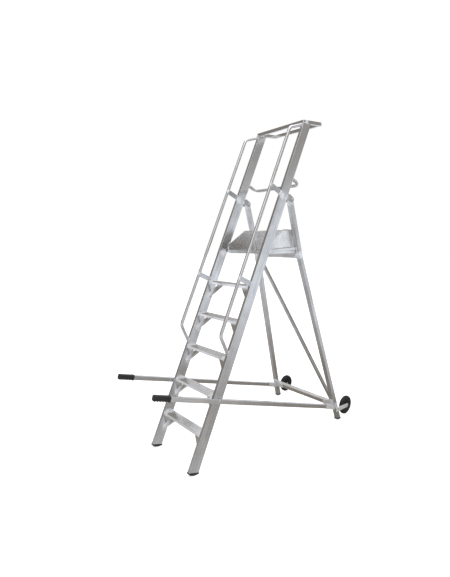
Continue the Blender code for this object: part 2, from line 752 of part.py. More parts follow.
def add_pivot_bolt(word, side):
    length = LEG_SIZE + 2 * BRACKET_PLATE + 6 * GAP
    bolt = turned("pivot_bolt_" + word, bolt_profile(length, PIVOT_BOLT_RADIUS, 0.011, 0.007),
                  leg_centre(side, PIVOT_Z), 16)
    link_part(bolt, STEEL)


# Tray frame, hoop and handrails ------------------------------------------------------------


def tray_origin():
    return Vector((0, stile_front_y(TRAY_FRONT_Z), TRAY_FRONT_Z))


def add_tray_frame():
    """A box-section ring on top of the stiles; a small vent keeps its inside open."""
    depth = TRAY_DEPTH
    centre = tray_origin() + depth / 2 * ALONG_TRAY + TRAY_BAR / 2 * ABOVE_TRAY
    matrix = axes_matrix(ACROSS, ALONG_TRAY, centre)
    width = 2 * LADDER_HALF_WIDTH

    def ring(inset):
        bar = TRAY_BAR - inset
        return [rectangle(width - 2 * inset, depth - 2 * inset, TRAY_CORNER - inset),
                rectangle(width - 2 * bar, depth - 2 * bar, 0)]

    frame = extruded("tray_frame", ring(0), TRAY_BAR, matrix)
    hollow = extruded("cut_tray_hollow", ring(TRAY_WALL), TRAY_BAR - 2 * TRAY_WALL, matrix)
    shape_with(frame, hollow)
    vent_place = tray_origin() + (depth - TRAY_BAR / 2) * ALONG_TRAY
    vent = cylinder("cut_tray_vent", 0.003, 0.020,
                    Matrix.Translation(vent_place) @ Matrix.Rotation(TRAY_TILT, 4, "X"), 12)
    shape_with(frame, vent)
    link_part(frame, MILL_FINISH)


def hollow_round_tube(name, corners, bend_radius):
    tube = round_tube(name, bent_path(corners, bend_radius), ROUND_TUBE_RADIUS)
    first = corners[0] + (corners[0] - corners[1]).normalized() * 0.010
    last = corners[-1] + (corners[-1] - corners[-2]).normalized() * 0.010
    longer = bent_path([first, *corners[1:-1], last], bend_radius)
    bore = round_tube("cut_bore_" + name, longer, ROUND_TUBE_RADIUS - ROUND_TUBE_WALL)
    shape_with(tube, bore)
    return tube


def add_knee_hoop():
    """A U of round tube behind the stiles, at knee height over the deck."""
    along = (HOOP_Z + STILE_DEPTH * sin(LEAN)) / cos(LEAN)
    near = STILE_DEPTH + GAP
    far = STILE_DEPTH + HOOP_REACH
    corners = [on_stile(-STILE_X, along, near), on_stile(-STILE_X, along, far),
               on_stile(STILE_X, along, far), on_stile(STILE_X, along, near)]
    link_part(hollow_round_tube("knee_hoop", corners, HOOP_CORNER), BRIGHT_TUBE)


def add_handrail(word, side):
    x = side * STILE_X
    corners = [on_stile(x, HANDRAIL_LOW_END, 0.004),
               on_stile(x, HANDRAIL_LOW_BEND, -HANDRAIL_OFFSET),
               on_stile(x, HANDRAIL_TOP_BEND, -HANDRAIL_OFFSET),
               on_stile(x, HANDRAIL_TOP_END, 0.004)]
    handrail = hollow_round_tube("handrail_" + word, corners, HANDRAIL_BEND_RADIUS)
    shape_with(handrail, stile_cutter(side, "cut_handrail_" + word))
    link_part(handrail, BRIGHT_TUBE)


def add_handrail_spacer(place, along, word, side):
    reach = HANDRAIL_OFFSET - ROUND_TUBE_RADIUS - 2 * GAP
    centre = on_stile(side * STILE_X, along, -GAP - reach / 2)
    spacer = block("handrail_spacer_%s_%s" % (place, word),
                   (SPACER_THICKNESS, SPACER_LENGTH, reach),
                   axes_matrix(ACROSS, ALONG_STILE, centre))
    link_part(spacer, MILL_FINISH)


# Push rails ----------------------------------------------------------------------------------


def rail_bolt_centre(side):
    back = RAIL_BOLT_SETBACK
    y = FRONT_FOOT_Y
    for _ in range(20):
        y = stile_front_y(rail_point(side, y).z) + back
    point = rail_point(side, y)
    point.x = side * STILE_X
    return point


def add_push_rail(word, side):
    start = rail_point(side, RAIL_TIP.y + GRIP_END)
    end = rail_point(side, RAIL_END_Y)
    rail = square_tube("push_rail_" + word, RAIL_SIZE, RAIL_SIZE, RAIL_WALL, start, end)
    bolt_place = rail_bolt_centre(side) + Vector((side * 0.04, 0, 0))
    hole = cylinder_across("cut_rail_bolt_" + word, RAIL_BOLT_RADIUS + GAP, 0.08, bolt_place)
    shape_with(rail, hole)
    link_part(rail, MILL_FINISH)


def add_rail_clip(word, side):
    """Two cheeks on a base that hold the end of the push rail in front of the leg."""
    end = rail_point(side, RAIL_END_Y)
    ahead = (rail_point(side, 0) - end).normalized()
    across = (ACROSS - ACROSS.dot(ahead) * ahead).normalized()
    inner = RAIL_SIZE / 2 + GAP
    outer = inner + CLIP_PLATE
    outline = [(-outer, -0.11), (outer, -0.11), (outer, CLIP_LENGTH), (inner, CLIP_LENGTH),
               (inner, -GAP), (-inner, -GAP), (-inner, CLIP_LENGTH), (-outer, CLIP_LENGTH)]
    clip = extruded("rail_clip_" + word, [outline], CLIP_HEIGHT, axes_matrix(across, ahead, end))
    behind = 2 * GAP + GUSSET_THICKNESS
    slab = block("cut_clip_" + word, (0.2, 0.4, 0.1),
                 leg_face(side, CROSS_TUBE_Z, behind) @ Matrix.Translation((0, 0, -0.05)))
    shape_with(clip, slab)
    link_part(clip, MILL_FINISH)


def add_grip(word, side):
    start = rail_point(side, RAIL_TIP.y)
    end = rail_point(side, RAIL_TIP.y + GRIP_LENGTH)
    grip = extruded("rail_grip_" + word, [rectangle(GRIP_SIZE, GRIP_SIZE, 0.010)],
                    (end - start).length, bar_matrix(start, end))
    socket_size = RAIL_SIZE + 2 * GAP
    inside = rail_point(side, RAIL_TIP.y + GRIP_END - GAP)
    beyond = rail_point(side, RAIL_TIP.y + GRIP_LENGTH + 0.020)
    shape_with(grip, solid_bar("cut_grip_" + word, socket_size, socket_size, inside, beyond))
    link_part(grip, BLACK_RUBBER)


def add_rail_bolt(word, side):
    """Through the push rail and the stile's outer wall, with its nut inside the stile."""
    centre = rail_bolt_centre(side)
    rail_x = abs(rail_point(side, centre.y).x)
    outer = rail_x + RAIL_SIZE / 2 + 0.0012
    inner = LADDER_HALF_WIDTH - STILE_WALL - GAP
    centre.x = side * (outer + inner) / 2
    bolt = turned("rail_bolt_" + word, bolt_profile(outer - inner, RAIL_BOLT_RADIUS, 0.008, 0.005),
                  centre, 16)
    link_part(bolt, STEEL)


# Wheels --------------------------------------------------------------------------------------


def arm_inner_x():
    """Just outside the leg's outer face at the arm's lower edge."""
    return leg_centre(1, WHEEL_Z - ARM_HEIGHT / 2).x + LEG_SIZE / 2 + GAP + 0.0002


def add_wheel_arm(word, side):
    """A flat bar on the outer face of the leg, with a wedge that fits the leg's splay."""
    leg_y = leg_centre(side, WHEEL_Z).y
    half = ARM_HEIGHT / 2
    front = leg_y - LEG_SIZE / 2
    outline = arc((WHEEL_Y, WHEEL_Z), half, -pi / 2, pi / 2, 8)
    outline += [(front, WHEEL_Z + half), (front, WHEEL_Z - half)]
    x = side * (arm_inner_x() + ARM_THICKNESS / 2)
    arm = extruded("wheel_arm_" + word, [outline], ARM_THICKNESS,
                   axes_matrix(Vector((0, 1, 0)), Vector((0, 0, 1)), Vector((x, 0, 0))))
    wedge_centres = []
    for z in (WHEEL_Z - half + ARM_EDGE, WHEEL_Z + half - ARM_EDGE):
        wedge_centres.append(Vector((side * (arm_inner_x() - 0.003), leg_centre(side, z).y, z)))
    wedge = leaning_tube("join_arm_wedge_" + word, [rectangle(0.012, LEG_SIZE - 0.010, 0)],
                         wedge_centres)
    shape_with(arm, wedge, "UNION")
    shape_with(arm, leg_cutter(side, "cut_arm_" + word))
    hole = cylinder_across("cut_arm_axle_" + word, AXLE_RADIUS + GAP, 0.06,
                           Vector((x, WHEEL_Y, WHEEL_Z)))
    shape_with(arm, hole)
    link_part(arm, MILL_FINISH)


def add_axle_bolt(word, side):
    inner = WHEEL_X - WHEEL_WIDTH / 2 - 0.002
    outer = arm_inner_x() + ARM_THICKNESS + GAP
    centre = Vector((side * (inner + outer) / 2, WHEEL_Y, WHEEL_Z))
    bolt = turned("axle_bolt_" + word, bolt_profile(outer - inner, AXLE_RADIUS, 0.010, 0.006),
                  centre, 16)
    link_part(bolt, STEEL)


def add_wheel(word, side):
    """Tyre and hub turn together on the axle bolt."""
    axis = bpy.data.objects.new("wheel_axis_" + word, None)
    axis.location = (side * WHEEL_X, WHEEL_Y, WHEEL_Z)
    PARTS.objects.link(axis)
    half = WHEEL_WIDTH / 2
    crown = 0.008
    tyre_profile = [(WHEEL_RADIUS - crown, half)]
    tyre_profile += [(WHEEL_RADIUS - crown + crown * sin(a), half - crown + crown * cos(a))
                     for a in (pi / 6, pi / 3, pi / 2)]
    tyre_profile += [(radius, -height) for radius, height in reversed(tyre_profile)]
    tyre_profile += [(HUB_RADIUS + GAP, -half), (HUB_RADIUS + GAP, half)]
    hub_profile = [(HUB_RADIUS, half - 0.002), (HUB_RADIUS, -half + 0.002),
                   (0.018, -half + 0.004), (0.016, -half), (AXLE_RADIUS + GAP, -half),
                   (AXLE_RADIUS + GAP, half), (0.016, half), (0.018, half - 0.004)]
    for name, profile, finish, steps in (("wheel_tyre_", tyre_profile, BLACK_RUBBER, 40),
                                         ("wheel_hub_", hub_profile, BLACK_RUBBER, 24)):
        piece = turned(name + word, profile, Vector((0, 0, 0)), steps, closed=True)
        piece.parent = axis
        link_part(piece, finish)


# Build -----------------------------------------------------------------------------------------

clear_scene()
PARTS = new_collection("rolling_warehouse_ladder")
CUTTERS = new_collection("cutters")

for side_word, side_sign in SIDES.items():
    add_stile(side_word, side_sign)
    add_front_foot(side_word, side_sign)
for tread_number in range(1, TREAD_COUNT + 1):
    add_tread(tread_number)
    for side_word, side_sign in SIDES.items():
        add_tread_brace(tread_number, side_word, side_sign)

add_deck()
add_toe_board()
add_bearer()
for side_word, side_sign in SIDES.items():
    add_side_bar(side_word, side_sign)

add_cross_tube()
add_diagonal()
for side_word, side_sign in SIDES.items():
    add_leg(side_word, side_sign)
    add_rear_foot(side_word, side_sign)
    add_gusset(side_word, side_sign)
    add_pivot_bracket(side_word, side_sign)
    add_pivot_bolt(side_word, side_sign)

add_tray_frame()
add_knee_hoop()
for side_word, side_sign in SIDES.items():
    add_handrail(side_word, side_sign)
    for spacer_place, spacer_along in SPACER_PLACES.items():
        add_handrail_spacer(spacer_place, spacer_along, side_word, side_sign)

for side_word, side_sign in SIDES.items():
    add_push_rail(side_word, side_sign)
    add_rail_clip(side_word, side_sign)
    add_grip(side_word, side_sign)
    add_rail_bolt(side_word, side_sign)
    add_wheel_arm(side_word, side_sign)
    add_axle_bolt(side_word, side_sign)
    add_wheel(side_word, side_sign)

for piece in [*PARTS.objects, *CUTTERS.objects]:
    if piece.parent is None:
        piece.location.z += DATUM_HEIGHT
bpy.context.view_layer.update()
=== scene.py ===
"""Looks of the rolling warehouse ladder: finishes, welds, rivets, bolts, rubber parts, light and camera.

Metres, +Z up, the climber faces +Y and +X is the climber's right, as in the frame that is loaded.
The heights below are measured from a datum level, DATUM_HEIGHT above the floor. object_from lifts each
new piece by that much, and a point given to a material is lifted where it matters.
"""

from math import cos, pi, radians, sin, sqrt, tan

import bmesh
import bpy
from mathutils import Matrix, Vector, noise


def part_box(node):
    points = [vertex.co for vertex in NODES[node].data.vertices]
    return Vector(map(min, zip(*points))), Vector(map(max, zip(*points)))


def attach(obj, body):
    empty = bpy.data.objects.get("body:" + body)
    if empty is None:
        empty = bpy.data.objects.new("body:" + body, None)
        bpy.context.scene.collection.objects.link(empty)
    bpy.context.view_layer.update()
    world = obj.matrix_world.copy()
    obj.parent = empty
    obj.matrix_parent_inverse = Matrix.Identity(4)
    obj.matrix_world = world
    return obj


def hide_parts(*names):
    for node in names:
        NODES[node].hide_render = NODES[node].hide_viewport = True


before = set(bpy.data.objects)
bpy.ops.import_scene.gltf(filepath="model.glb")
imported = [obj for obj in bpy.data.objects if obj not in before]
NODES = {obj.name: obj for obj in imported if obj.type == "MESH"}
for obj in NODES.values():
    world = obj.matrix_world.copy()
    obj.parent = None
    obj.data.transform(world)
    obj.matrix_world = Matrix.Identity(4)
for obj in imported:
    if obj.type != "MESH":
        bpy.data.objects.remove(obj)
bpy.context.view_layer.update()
SIDES = {"left": -1, "right": 1}
BODY = "ladder_frame"

# Lines of the ladder -------------------------------------------------------------------------

DATUM_HEIGHT = 0.014
GAP = 0.0003                  # between neighbouring pieces

LEAN = radians(24.08)         # of the stiles, from upright
FRONT_FOOT_Y = -0.7488
STILE_X = 0.2475
STILE_INNER_X = 0.235
STILE_DEPTH = 0.080
STILE_END_Z = 0.018
STILE_END_SLOPE = radians(16)

RISE = 0.250
TREAD_COUNT = 5
TREAD_DEPTH = 0.078
TREAD_HEIGHT = 0.024
BRACE_REACH = 0.120
BRACE_WIDTH = 0.0424
BRACE_SETBACK = 0.053
BRACE_DEPTH = 0.020

LEG_SLOPE = 0.2981
LEG_FOOT_X = 0.3625
LEG_FOOT_Y = 0.7995
LEG_TOP_X = 0.245
LEG_BEND_Z = 1.4417
LEG_SPLAY = (LEG_FOOT_X - LEG_TOP_X) / LEG_BEND_Z
LEG_SIZE = 0.038
BRACKET_PLATE = 0.005         # each side of the leg, round its pivot
PIVOT_Z = 1.8951
BEARER_Z = 1.4587
CROSS_TUBE_Z = 0.1296

DECK_TOP = 1.5
SIDE_BAR_X = 0.2362
TRAY_FRONT_Z = 2.490

TUBE_RADIUS = 0.0125
TUBE_BEND = 0.055
HANDRAIL_STANDOFF = 0.111     # from the front of the stile to the middle of the tube
HANDRAIL_FOOT = 0.8595        # along the stile, like the three below
HANDRAIL_LOW_BEND = 0.9536
HANDRAIL_TOP_BEND = 2.617
HANDRAIL_END = 2.714
SPACERS_ALONG = (1.388, 2.130)
HOOP_Z = 2.055
HOOP_REACH = 0.175

RAIL_FRONT_X = 0.2495
RAIL_FRONT_Y = -0.9962
RAIL_FRONT_Z = 0.6118
RAIL_SPREAD = 0.0594          # outward, for each metre back
RAIL_FALL = 0.289             # downward, for each metre back
RAIL_END_Y = 0.665

ACROSS = Vector((1, 0, 0))
BACK = Vector((0, 1, 0))
UP = Vector((0, 0, 1))
LIFT = DATUM_HEIGHT * UP
ALONG_STILE = Vector((0, sin(LEAN), cos(LEAN)))
BEHIND_STILE = Vector((0, cos(LEAN), -sin(LEAN)))
UP_LEG = Vector((0, -LEG_SLOPE, 1)).normalized()
BEHIND_LEG = Vector((0, 1, LEG_SLOPE)).normalized()


def stile_front_y(z):
    return FRONT_FOOT_Y + z * tan(LEAN)


def on_stile(x, along, behind):
    return Vector((x, FRONT_FOOT_Y, 0)) + along * ALONG_STILE + behind * BEHIND_STILE


def leg_centre(side, z):
    x = LEG_TOP_X + LEG_SPLAY * max(LEG_BEND_Z - z, 0)
    return Vector((side * x, LEG_FOOT_Y - LEG_SLOPE * z, z))


def leg_pair(z):
    return [leg_centre(side, z) for side in SIDES.values()]


def rail_point(side, y):
    back = y - RAIL_FRONT_Y
    return Vector((side * (RAIL_FRONT_X + RAIL_SPREAD * back), y, RAIL_FRONT_Z - RAIL_FALL * back))


# Tones of the room, as the metal reflects them -----------------------------------------------------

# The floor glows with these tones for the metal to reflect: a painted shadow, darkest round the ladder and
# paler far away.
FLOOR_SHADOW_CENTRE = (0.3, 0.7, 0.0)
FLOOR_SHADOW_TONES = [               # by distance from there, in tens of metres
    (0.0, (0.29, 0.272, 0.25, 1)),
    (0.065, (0.32, 0.302, 0.28, 1)),
    (0.11, (0.50, 0.485, 0.475, 1)),
    (0.20, (0.64, 0.64, 0.66, 1)),
    (1.0, (0.95, 1.0, 1.08, 1)),
]
ROOM_TONES = [                # from the horizon up to overhead
    (0.0, (0.80, 0.84, 0.90, 1)),
    (0.07, (0.92, 0.97, 1.05, 1)),
    (0.15, (0.42, 0.405, 0.385, 1)),
    (0.45, (0.36, 0.345, 0.33, 1)),
    (0.75, (0.95, 0.98, 1.02, 1)),
    (1.0, (1.05, 1.08, 1.14, 1)),
]
ROOM_PANELS = [               # direction, where it starts and is full as a cosine, tone
    ((-0.77, -0.53, 0.35), 0.62, 0.92, (0.29, 0.265, 0.24, 1)),
    ((-0.75, 0.62, 0.20), 0.78, 0.95, (0.82, 0.85, 0.90, 1)),
]
LIGHT_COLOUR = (0.97, 0.98, 1.0)

CAMERA_PLACE = (2.3075, -2.1125, 1.5755)
CAMERA_YAW = radians(50.59)
CAMERA_PITCH = radians(-6.689)
CAMERA_LENS = 24.23           # mm, as is the sensor
CAMERA_SENSOR = 36


# Materials -----------------------------------------------------------------------------------


def is_socket(value):
    return isinstance(value, bpy.types.NodeSocket)


class Finish:
    """A material with short calls for the nodes that it needs."""

    def __init__(self, name, metallic=0.0, roughness=0.5):
        self.material = bpy.data.materials.new(name)
        self.material.use_nodes = True
        self.tree = self.material.node_tree
        self.shader = self.tree.nodes["Principled BSDF"]
        self.shader.inputs["Metallic"].default_value = metallic
        self.shader.inputs["Roughness"].default_value = roughness
        self.place = self.add("ShaderNodeTexCoord").outputs["Object"]

    def add(self, kind, inputs=(), **settings):
        node = self.tree.nodes.new(kind)
        for key, value in settings.items():
            setattr(node, key, value)
        for key, value in dict(inputs).items():
            if is_socket(value):
                self.tree.links.new(value, node.inputs[key])
            else:
                node.inputs[key].default_value = value
        return node

    def math(self, operation, first, second=0.0):
        return self.add("ShaderNodeMath", {0: first, 1: second}, operation=operation).outputs[0]

    def total(self, *terms, start=None):
        """The sum of values, each times its weight."""
        result = start
        for value, weight in terms:
            part = self.math("MULTIPLY", value, weight)
            result = part if result is None else self.math("ADD", part, result)
        return result

    def distance(self, place, centre):
        return self.add("ShaderNodeVectorMath", {0: place, 1: centre}, operation="DISTANCE").outputs["Value"]

    def along(self, axis):
        """How far a point lies along an axis from the origin."""
        return self.add("ShaderNodeVectorMath", {0: self.place, 1: tuple(axis)},
                        operation="DOT_PRODUCT").outputs["Value"]

    def stretched(self, axis, fine, coarse):
        """Coordinates that change fast across an axis and slowly along it."""
        other = axis.orthogonal().normalized()
        third = axis.cross(other)
        parts = [self.math("MULTIPLY", self.along(a), scale)
                 for a, scale in ((other, fine), (third, fine), (axis, coarse))]
        return self.add("ShaderNodeCombineXYZ", dict(enumerate(parts))).outputs[0]

    def noise(self, scale, place=None, detail=4.0, roughness=0.55):
        values = {"Vector": place or self.place, "Scale": scale, "Detail": detail, "Roughness": roughness}
        return self.add("ShaderNodeTexNoise", values).outputs["Fac"]

    def spread(self, value, low, high, to_low=0.0, to_high=1.0):
        values = {0: value, 1: low, 2: high, 3: to_low, 4: to_high}
        return self.add("ShaderNodeMapRange", values, interpolation_type="SMOOTHSTEP").outputs[0]

    def mix(self, share, first, second):
        factor, colour_a, colour_b = 0, 6, 7
        colours = {key: value if is_socket(value) else (*value, 1)
                   for key, value in ((colour_a, first), (colour_b, second))}
        return self.add("ShaderNodeMix", {factor: share, **colours}, data_type="RGBA").outputs[2]

    def near_points(self, points, reach, keep):
        """1 at each point, falling to 0 at the reach; keep drops the axes that do not matter."""
        place = self.add("ShaderNodeVectorMath", {0: self.place, 1: keep}, operation="MULTIPLY").outputs[0]
        result = None
        for point in points:
            centre = tuple(a * b for a, b in zip(point, keep))
            hill = self.spread(self.distance(place, centre), 0.0, reach, 1.0, 0.0)
            result = hill if result is None else self.math("MAXIMUM", result, hill)
        return result

    def frost_and_highlight(self, points, reach, keep):
        """1 at each weld, and at each bend of the toe board where it is a painted highlight, breaking up
        into clouds towards the reach.
        """
        cloud = self.math("SUBTRACT", self.noise(38.0, detail=5.0), 0.5)
        return self.spread(self.total((cloud, 0.9), start=self.near_points(points, reach, keep)), 0.30, 0.95)

    def surface(self, colour, roughness=None, height=None, strength=0.3, distance=0.0005):
        self.tree.links.new(colour, self.shader.inputs["Base Color"])
        if roughness is not None:
            self.tree.links.new(roughness, self.shader.inputs["Roughness"])
        if height is not None:
            bump = self.add("ShaderNodeBump", {"Strength": strength, "Distance": distance, "Height": height})
            self.tree.links.new(bump.outputs["Normal"], self.shader.inputs["Normal"])
        return self.material


# White of the frost round welds, and of the painted highlight at the toe board's bends.
FROST_AND_HIGHLIGHT = (0.95, 0.96, 0.98)
ALL_AXES = (1, 1, 1)
ACROSS_ONLY = (1, 0, 0)
SIDE_VIEW = (0, 1, 1)


def aluminium(name, grain, welds=(), reach=0.05, keep=ALL_AXES, light=(0.80, 0.80, 0.80),
              dark=(0.60, 0.595, 0.59), rough=0.19, inside=None, grooves=0.10, edge_welds=(),
              edge_reach=0.06):
    """Mill finish: drawn lines along the grain, dull patches, and a frosty bloom round the welds; on the toe
    board the same white bloom at its bends is a painted highlight.

    inside keeps the bloom to the faces nearer the middle than that; the edge welds show on all faces.
    """
    f = Finish(name, metallic=1.0, roughness=rough)
    lines = f.noise(1.0, f.stretched(grain, fine=900, coarse=3.0), detail=3.0)
    streaks = f.noise(1.0, f.stretched(grain, fine=120, coarse=2.0), detail=4.0)
    drift = f.noise(1.0, f.stretched(grain, fine=9, coarse=2.6), detail=2.0)
    patches = f.math("SUBTRACT", f.noise(9.0, detail=5.0, roughness=0.6), 0.5)
    smudge = f.spread(f.noise(34.0, detail=6.0, roughness=0.7), 0.52, 0.72)
    tone = f.spread(f.total((lines, 0.30), (streaks, 0.40), (drift, 0.30), (patches, 0.4)), 0.34, 0.66)
    colour = f.mix(tone, dark, light)
    roughness = f.total((tone, -0.10), (smudge, 0.08), start=rough + 0.08)
    if welds:
        bloom = f.frost_and_highlight(welds, reach, keep)
        if inside is not None:
            from_middle = f.math("ABSOLUTE", f.along(ACROSS))
            bloom = f.math("MULTIPLY", bloom, f.math("LESS_THAN", from_middle, inside))
        colour = f.mix(bloom, colour, FROST_AND_HIGHLIGHT)
        roughness = f.total((bloom, 0.16), start=roughness)
        metal = f.math("SUBTRACT", 1.0, f.math("MULTIPLY", bloom, 0.5))
        if edge_welds:
            bloom = f.frost_and_highlight(edge_welds, edge_reach, SIDE_VIEW)
            colour = f.mix(bloom, colour, FROST_AND_HIGHLIGHT)
            metal = f.math("MULTIPLY", metal, f.math("SUBTRACT", 1.0, f.math("MULTIPLY", bloom, 0.6)))
        f.tree.links.new(metal, f.shader.inputs["Metallic"])
    return f.surface(colour, roughness, lines, strength=grooves, distance=0.0002)


def frosted_aluminium():
    """Small plates dulled all over by the heat of their welds."""
    f = Finish("frosted_aluminium", metallic=0.25, roughness=0.42)
    cloud = f.noise(46.0, detail=5.0)
    lines = f.noise(300.0, detail=3.0)
    colour = f.mix(f.spread(cloud, 0.35, 0.65), (0.80, 0.80, 0.80), (0.96, 0.97, 0.99))
    return f.surface(colour, f.spread(cloud, 0.3, 0.7, 0.34, 0.52), lines, strength=0.15)


def weld_metal():
    f = Finish("weld_bead", metallic=0.85, roughness=0.42)
    grain = f.noise(420.0, detail=3.0)
    soot = f.spread(f.noise(60.0, detail=4.0), 0.50, 0.75)
    colour = f.mix(soot, (0.86, 0.86, 0.88), (0.60, 0.59, 0.59))
    return f.surface(colour, f.spread(grain, 0.3, 0.7, 0.34, 0.54), grain, strength=0.35)


def plated_steel():
    f = Finish("zinc_plated_steel", metallic=1.0, roughness=0.3)
    spots = f.noise(260.0, detail=4.0)
    haze = f.noise(45.0, detail=5.0)
    colour = f.mix(f.spread(haze, 0.35, 0.7), (0.60, 0.60, 0.62), (0.76, 0.75, 0.73))
    return f.surface(colour, f.spread(spots, 0.3, 0.7, 0.24, 0.42), spots, strength=0.1)


def rubber(name, tone, wear, rough=0.55):
    """Black rubber or plastic with a fine grain and grey dust."""
    f = Finish(name, roughness=rough)
    grain = f.noise(900.0, detail=2.0)
    dust = f.spread(f.noise(38.0, detail=6.0, roughness=0.65), 0.48, 0.78)
    colour = f.mix(dust, (tone, tone, tone * 1.1), (wear, wear, wear * 1.02))
    return f.surface(colour, f.spread(dust, 0.0, 1.0, rough - 0.06, rough + 0.14), grain, strength=0.25,
                     distance=0.0003)


def set_stops(stops, tones):
    stops[0].position, stops[0].color = tones[0]
    stops[1].position, stops[1].color = tones[-1]
    for position, colour in tones[1:-1]:
        stops.new(position).color = colour


def floor_finish():
    """White to the camera; for the metal, a glow with a painted shadow, darker round the ladder and lighter
    far away.
    """
    f = Finish("pale_floor", roughness=0.85)
    speckle = f.noise(6.0, detail=3.0)
    f.shader.inputs["Emission Color"].default_value = (1, 1, 1, 1)
    f.shader.inputs["Emission Strength"].default_value = 0.60
    f.shader.inputs["Specular IOR Level"].default_value = 0.1
    f.surface(f.mix(speckle, (0.90, 0.90, 0.905), (0.93, 0.93, 0.93)))
    # Painted shadow: for the rays that the metal reflects, the floor glows darker round the ladder.
    tens_of_metres = f.math("MULTIPLY", f.distance(f.place, FLOOR_SHADOW_CENTRE), 0.1)
    ramp = f.add("ShaderNodeValToRGB", {"Fac": tens_of_metres})
    set_stops(ramp.color_ramp.elements, FLOOR_SHADOW_TONES)
    seen = f.add("ShaderNodeLightPath").outputs["Is Camera Ray"]
    shadow_painted_glow = f.add("ShaderNodeEmission", {"Color": ramp.outputs[0], "Strength": 1.0}).outputs[0]
    shown = f.add("ShaderNodeMixShader", {0: seen, 1: shadow_painted_glow, 2: f.shader.outputs[0]}).outputs[0]
    f.tree.links.new(shown, f.tree.nodes["Material Output"].inputs["Surface"])
    return f.material


WELD = weld_metal()
STEEL = plated_steel()
GRIP_RUBBER = rubber("grip_rubber", tone=0.013, wear=0.032)
FOOT_RUBBER = rubber("foot_rubber", tone=0.020, wear=0.060)
TYRE_RUBBER = rubber("tyre_rubber", tone=0.012, wear=0.030, rough=0.60)
HUB_PLASTIC = rubber("hub_plastic", tone=0.020, wear=0.045, rough=0.45)


# Mesh building -------------------------------------------------------------------------------


def finished(obj, material, body=BODY, replaced=(), angle=38):
    """Puts a piece in the scene with its finish, riding on its body."""
    if obj.name not in bpy.context.scene.collection.objects:
        bpy.context.scene.collection.objects.link(obj)
    obj.data.materials.clear()
    obj.data.materials.append(material)
    obj.data.shade_smooth()
    obj.data.set_sharp_from_angle(angle=radians(angle))
    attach(obj, body)
    if replaced:
        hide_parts(*replaced)
    return obj


def object_from(name, shape, lifted=True):
    bmesh.ops.recalc_face_normals(shape, faces=shape.faces)
    if lifted:
        bmesh.ops.translate(shape, verts=shape.verts, vec=LIFT)
    mesh = bpy.data.meshes.new(name)
    shape.to_mesh(mesh)
    shape.free()
    return bpy.data.objects.new(name, mesh)


def loft(shape, rings, closed=False, capped=True):
    """Skins rings of the same number of points, one after another."""
    made = [[shape.verts.new(point) for point in ring] for ring in rings]
    pairs = list(zip(made, made[1:]))
    if closed:
        pairs.append((made[-1], made[0]))
    for low, high in pairs:
        for k in range(len(low)):
            after = (k + 1) % len(low)
            shape.faces.new((low[k], low[after], high[after], high[k]))
    if capped and not closed:
        shape.faces.new(made[0])
        shape.faces.new(made[-1])


def turns(count):
    """Evenly spaced angles of one whole turn."""
    return (2 * pi * k / count for k in range(count))


def ring_of(centre, u, v, radius, sides):
    return [centre + radius * (cos(a) * u + sin(a) * v) for a in turns(sides)]


def across_axis(axis):
    """Two directions at right angles to an axis and to each other."""
    u = axis.orthogonal().normalized()
    return u, axis.cross(u)


def frames_along(points, closed=False):
    """Two directions across the path at each point, carried along without twist."""
    count = len(points)
    result = []
    side = None
    for k in range(count):
        ahead = points[(k + 1) % count] if closed or k + 1 < count else points[k]
        behind = points[k - 1] if closed or k else points[k]
        way = (ahead - behind).normalized()
        if side is None:
            side = way.orthogonal().normalized()
        side = (side - side.dot(way) * way).normalized()
        result.append((side.copy(), way.cross(side)))
    return result


def tube(shape, points, radius, sides):
    loft(shape, [ring_of(point, u, v, radius, sides) for point, (u, v) in zip(points, frames_along(points))])


def resampled(points, step, closed=False):
    """Points about a step apart along a chain of straight stretches."""
    chain = points + [points[0]] if closed else points
    lengths = [(b - a).length for a, b in zip(chain, chain[1:])]
    total = sum(lengths)
    count = max(int(total / step), 4)
    result = []
    for k in range(count if closed else count + 1):
        left = total * k / count
        for start, end, length in zip(chain, chain[1:], lengths):
            if left <= length or (start, end) == (chain[-2], chain[-1]):
                result.append(start.lerp(end, min(left / length, 1)))
                break
            left -= length
    return result


def bead(shape, points, radius, closed=False):
    """A weld bead with the ripples that a welder leaves."""
    step, ripple_length, sides = 0.0011, 0.0033, 7
    path = resampled(points, step, closed)
    rings = []
    for k, (point, (u, v)) in enumerate(zip(path, frames_along(path, closed))):
        ripple = 1 + 0.13 * cos(2 * pi * k * step / ripple_length)
        wander = 1 + 0.25 * noise.noise(point * 90)
        centre = point + 0.0006 * Vector((noise.noise(point * 55), noise.noise(point * 61 + UP), 0))
        rings.append(ring_of(centre, u, v, radius * ripple * wander, sides))
    loft(shape, rings, closed=closed)


def rectangle_loop(centre, u, v, half_u, half_v):
    return [centre + su * half_u * u + sv * half_v * v for su, sv in ((-1, -1), (1, -1), (1, 1), (-1, 1))]


def ellipse_loop(centre, u, v, half_u, half_v):
    return [centre + half_u * cos(a) * u + half_v * sin(a) * v for a in turns(28)]


def rounded_section(half_u, half_v, corner, steps):
    """Points of a rounded rectangle, as (u, v) pairs."""
    points = []
    for quarter, (su, sv) in enumerate(((1, 1), (-1, 1), (-1, -1), (1, -1))):
        for step in range(steps + 1):
            angle = quarter * pi / 2 + step * pi / 2 / steps
            points.append((su * (half_u - corner) + corner * cos(angle),
                           sv * (half_v - corner) + corner * sin(angle)))
    return points


def mirrored(profile):
    """A profile of (radius, x) points followed by its mirror image, from the far end back."""
    return profile + [(radius, -x) for radius, x in reversed(profile)]


def lathe(shape, profile, centre, steps, closed=False):
    """Turns (radius, x) points round the X axis through the centre."""
    rings = [[centre + Vector((x, radius * cos(a), radius * sin(a))) for a in turns(steps)]
             for radius, x in profile]
    loft(shape, rings, closed=closed, capped=not closed)


